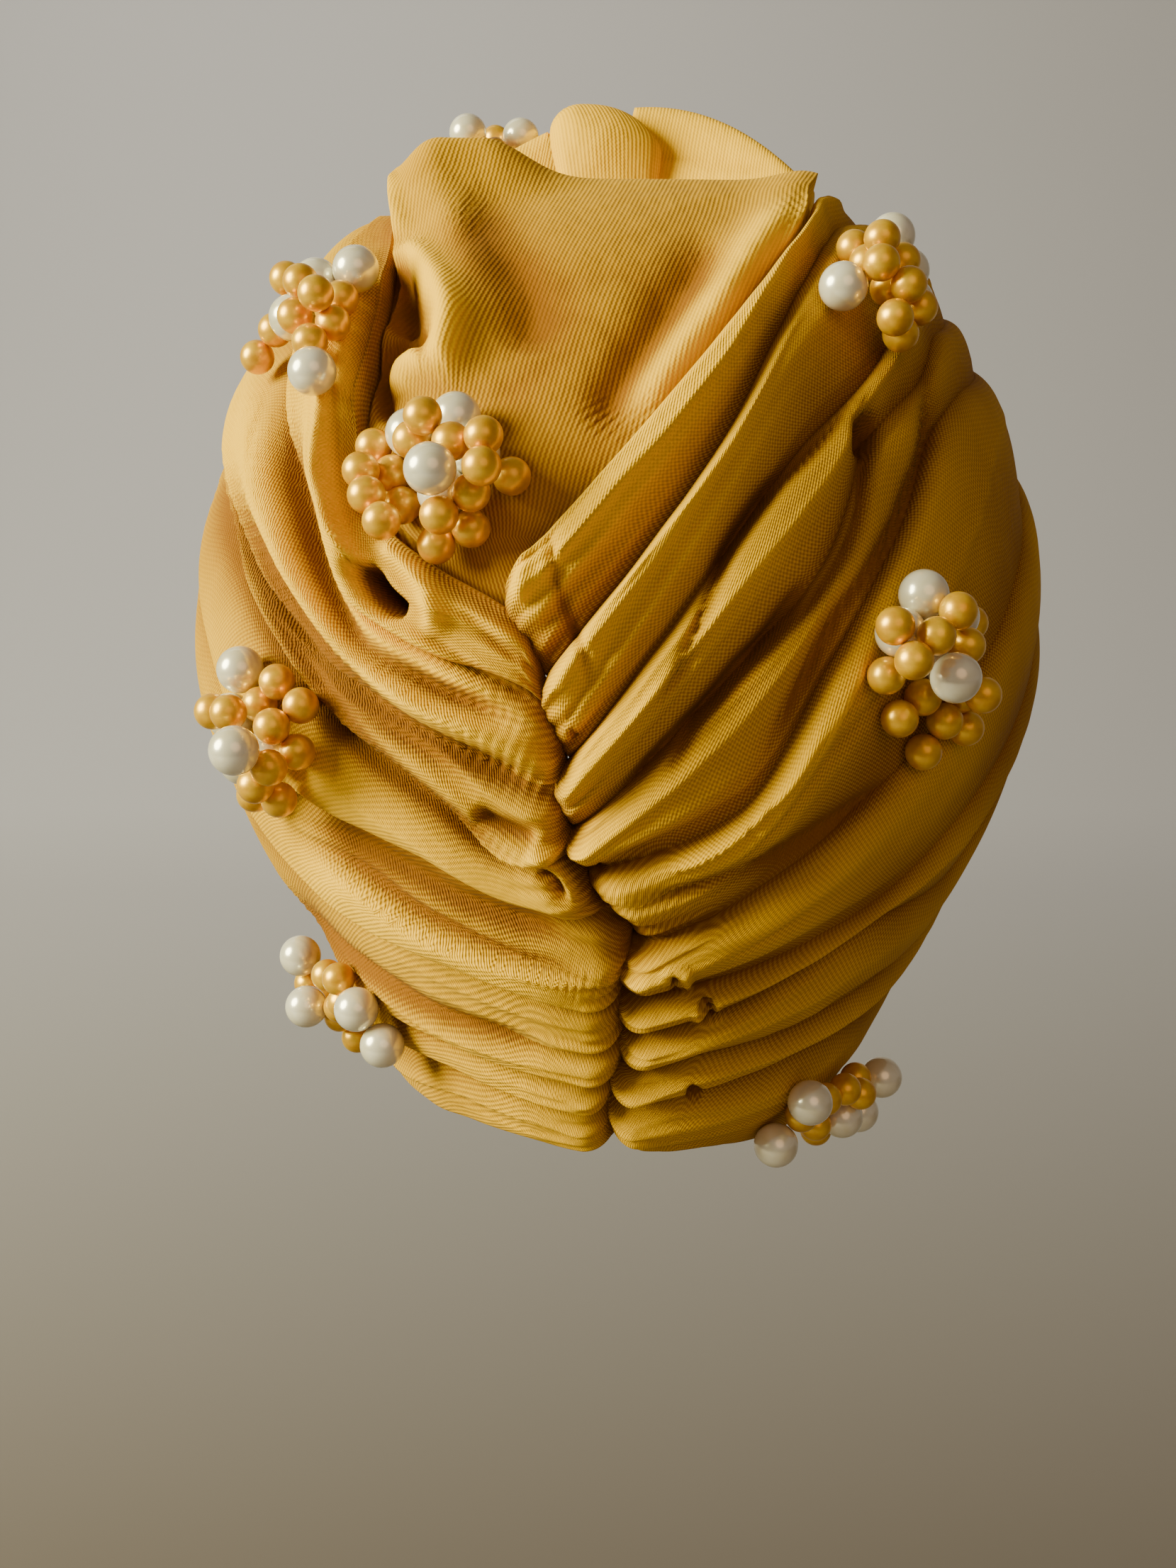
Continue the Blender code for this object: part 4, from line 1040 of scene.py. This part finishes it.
def gold_material():
    """Gold pearl bead: satin metallic lacquer with small uneven spots."""
    material, tree, shader = new_material("gold_lacquer")
    spots = noise_node(tree, "spots")
    colour_from(tree, spots, "gold", shader)
    tree.links.new(bump_node(tree, spots, *BUMPS["spots"]), shader.inputs["Normal"])
    set_inputs(shader, FINISHES["gold"])
    return material


def cloth_trees(pieces):
    """Search trees of the finished cloth."""
    bpy.context.view_layer.update()
    graph = bpy.context.evaluated_depsgraph_get()
    return [BVHTree.FromObject(piece, graph) for piece in pieces]


def room(point, radius, trees, placed):
    """Free space between a bead and the cloth, and between it and its neighbours."""
    spot = Vector(point) * MM
    to_cloth = min(tree.find_nearest(spot)[3] for tree in trees) / MM - radius - SEAT_GAP
    gaps = [np.linalg.norm(point - other) - radius - size for other, size in placed]
    return to_cloth, min(gaps, default=0.0)


def settle(spot, radius, look, trees, placed):
    """Slide a bead along its line to the cloth, then back out until its neighbours fit."""
    point = spot - look * SETTLE_START
    while np.dot(point - spot, look) < SETTLE_END:
        to_cloth = room(point, radius, trees, placed)[0]
        if to_cloth < SETTLE_ENOUGH:
            break
        point = point + look * to_cloth
    while room(point, radius, trees, placed)[1] < -BEAD_OVERLAP:
        point = point - look * BACK_STEP
    return point


def draw_near(point, radius, trees, placed):
    """Move a lone bead sideways until it meets its nearest neighbour, staying off the cloth."""
    begun = point
    for _ in range(DRAW_TRIES):
        to_cloth, to_bead = room(point, radius, trees, placed)
        if to_bead < SETTLE_ENOUGH or np.linalg.norm(point - begun) > DRAW_LIMIT:
            break
        nearest = min(placed, key=lambda other: np.linalg.norm(point - other[0]) - other[1])
        way = nearest[0] - point
        point = point + unit(way) * to_bead
        shift = min(room(point, radius, trees, placed)[0], 0.0)
        point = point - unit(point - HEAD_MIDDLE) * shift
    return point


def cluster_beads(row, trees):
    """Centre and radius of each bead of one cluster."""
    _, turn, rise, measured, groups = row
    middle = place(turn, rise, dome_radius(turn, float(rise)) + CLUSTER_HEIGHT)
    look = unit(middle - CAMERA if measured == SEEN else HEAD_MIDDLE - middle)
    right = unit(np.cross(look, (0.0, 0.0, 1.0)))
    upward = np.cross(right, look)
    placed = []
    for radius, spots in groups:
        for across, above in spots:
            spot = middle + right * across + upward * above
            point = settle(spot, radius, look, trees, placed)
            if placed:
                point = draw_near(point, radius, trees, placed)
            placed.append((point, radius))
    return placed


def cluster_object(row, trees, materials):
    """All beads of one cluster in one mesh, each turned its own way."""
    form = bmesh.new()
    for number, (point, radius) in enumerate(cluster_beads(row, trees)):
        made = bmesh.ops.create_uvsphere(
            form, u_segments=BEAD_SIDES, v_segments=BEAD_RINGS, radius=radius * MM)
        spin = Euler([number * angle for angle in BEAD_SPIN]).to_matrix()
        bmesh.ops.rotate(form, verts=made["verts"], cent=(0, 0, 0), matrix=spin)
        bmesh.ops.translate(form, verts=made["verts"], vec=Vector(point) * MM)
        for face in {face for vertex in made["verts"] for face in vertex.link_faces}:
            face.material_index = 0 if radius == PEARL else 1
    name = "beads_" + row[0]
    mesh = bpy.data.meshes.new(name)
    form.to_mesh(mesh)
    form.free()
    mesh.shade_smooth()
    for material in materials:
        mesh.materials.append(material)
    return add_object(name, mesh)


def build_hat():
    """All visible pieces, each in place of its solid."""
    rib, stitch = (jersey_material(*knit) for knit in KNITS)
    pieces = []
    for name, valleys, bulges, styles, side, strokes in (
        ("left_wing_cloth", LEFT_VALLEYS, LEFT_BULGES, LEFT_STYLES, 1, LEFT_STROKES),
        ("right_wing_cloth", RIGHT_VALLEYS, RIGHT_BULGES, RIGHT_STYLES, -1, RIGHT_STROKES),
    ):
        points, high = wing_surface(valleys, bulges, styles, side)
        points, lift = add_strokes(points, strokes)
        crinkle = CRINKLE_HEIGHT * crumple(points, side, CRINKLE_SCALE)
        points = points + crinkle[..., None] * view_axes()[1]
        # Painted shade in the strokes' creases and painted light on their ridges, added to the wing's tone
        pieces.append(cloth_object(name, points, high + lift / TONE_OF_STROKES, stitch, side < 0, True))
    for name, surface, strokes in (
        ("crown_cloth", crown_surface, CROWN_STROKES),
        ("band_cloth", band_surface, ()),
    ):
        points, high = surface()
        points, lift = add_strokes(points, strokes, FRONT_STROKES[name])
        # Painted shade in the strokes' creases and painted light on their ridges, added to the crown's and
        # band's tone
        pieces.append(cloth_object(name, points, high + lift / TONE_OF_STROKES, rib, False, False))
    for piece, node in zip(pieces, ("left_wing", "right_wing", "crown_panel", "front_band")):
        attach(piece, "root")
        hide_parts(node)

    trees = cloth_trees(pieces)
    materials = (pearl_material(), gold_material())
    for row in CLUSTERS:
        piece = cluster_object(row, trees, materials)
        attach(piece, "root")
        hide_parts("bead_cluster_" + row[0])


def add_camera():
    """The camera that took the photo, behind the hat and above it."""
    lens = bpy.data.cameras.new("photo_camera")
    lens.sensor_fit = "AUTO"
    lens.sensor_width = SENSOR
    lens.lens = FOCAL_PIXELS / PHOTO_HEIGHT * SENSOR
    lens.clip_start = 0.01
    camera = add_object("photo_camera", lens)
    camera.location = Vector(CAMERA) * MM
    camera.rotation_euler = Euler((np.radians(90.0 - CAMERA_PITCH), 0.0, np.pi))
    bpy.context.scene.camera = camera


def add_light(name, position, target, size, power, colour):
    """A round soft light that points at its target."""
    lamp = bpy.data.lights.new(name, "AREA")
    lamp.shape = "DISK"
    lamp.size = size
    lamp.energy = power
    lamp.color = colour
    light = add_object(name, lamp)
    light.location = position
    aim = Vector(target) - Vector(position)
    light.rotation_euler = aim.to_track_quat("-Z", "Y").to_euler()


def add_studio():
    """A pale floor that curves up into a wall, with a painted shadow band below the hat, a soft key light
    from the left and a weak fill.
    """
    angles = np.linspace(0.0, np.pi / 2, FLOOR_STEPS)
    curve = [(WALL_AT + FLOOR_BEND * (1 - np.sin(a)), FLOOR_LEVEL + FLOOR_BEND * (1 - np.cos(a)))
             for a in angles]
    profile = [(FLOOR_REACH, FLOOR_LEVEL)] + curve + [(WALL_AT, FLOOR_REACH)]
    vertices = [(x, y, z) for y, z in profile for x in (-FLOOR_REACH, FLOOR_REACH)]
    faces = [(2 * k, 2 * k + 1, 2 * k + 3, 2 * k + 2) for k in range(len(profile) - 1)]
    mesh = bpy.data.meshes.new("floor")
    mesh.from_pydata(vertices, [], faces)
    mesh.shade_smooth()
    material, tree, shader = new_material("pale_floor_painted_shadow")
    spot = tree.nodes.new("ShaderNodeTexCoord")
    split = tree.nodes.new("ShaderNodeSeparateXYZ")
    tree.links.new(spot.outputs["Object"], split.inputs[0])
    # Painted shadow: dark and warm where the floor passes below the hat, by the distance front to back,
    # pale further off
    colour_from(tree, maths(tree, "ABSOLUTE", split.outputs[1]), "floor", shader)
    set_inputs(shader, FINISHES["floor"])
    mesh.materials.append(material)
    floor = add_object("floor", mesh)

    world = bpy.data.worlds.new("studio")
    world.use_nodes = True
    background = world.node_tree.nodes["Background"]
    set_inputs(background, {"Color": WORLD_COLOUR, "Strength": WORLD_STRENGTH})
    bpy.context.scene.world = world
    for row in LIGHTS:
        add_light(*row)


add_camera()
build_hat()
add_studio()
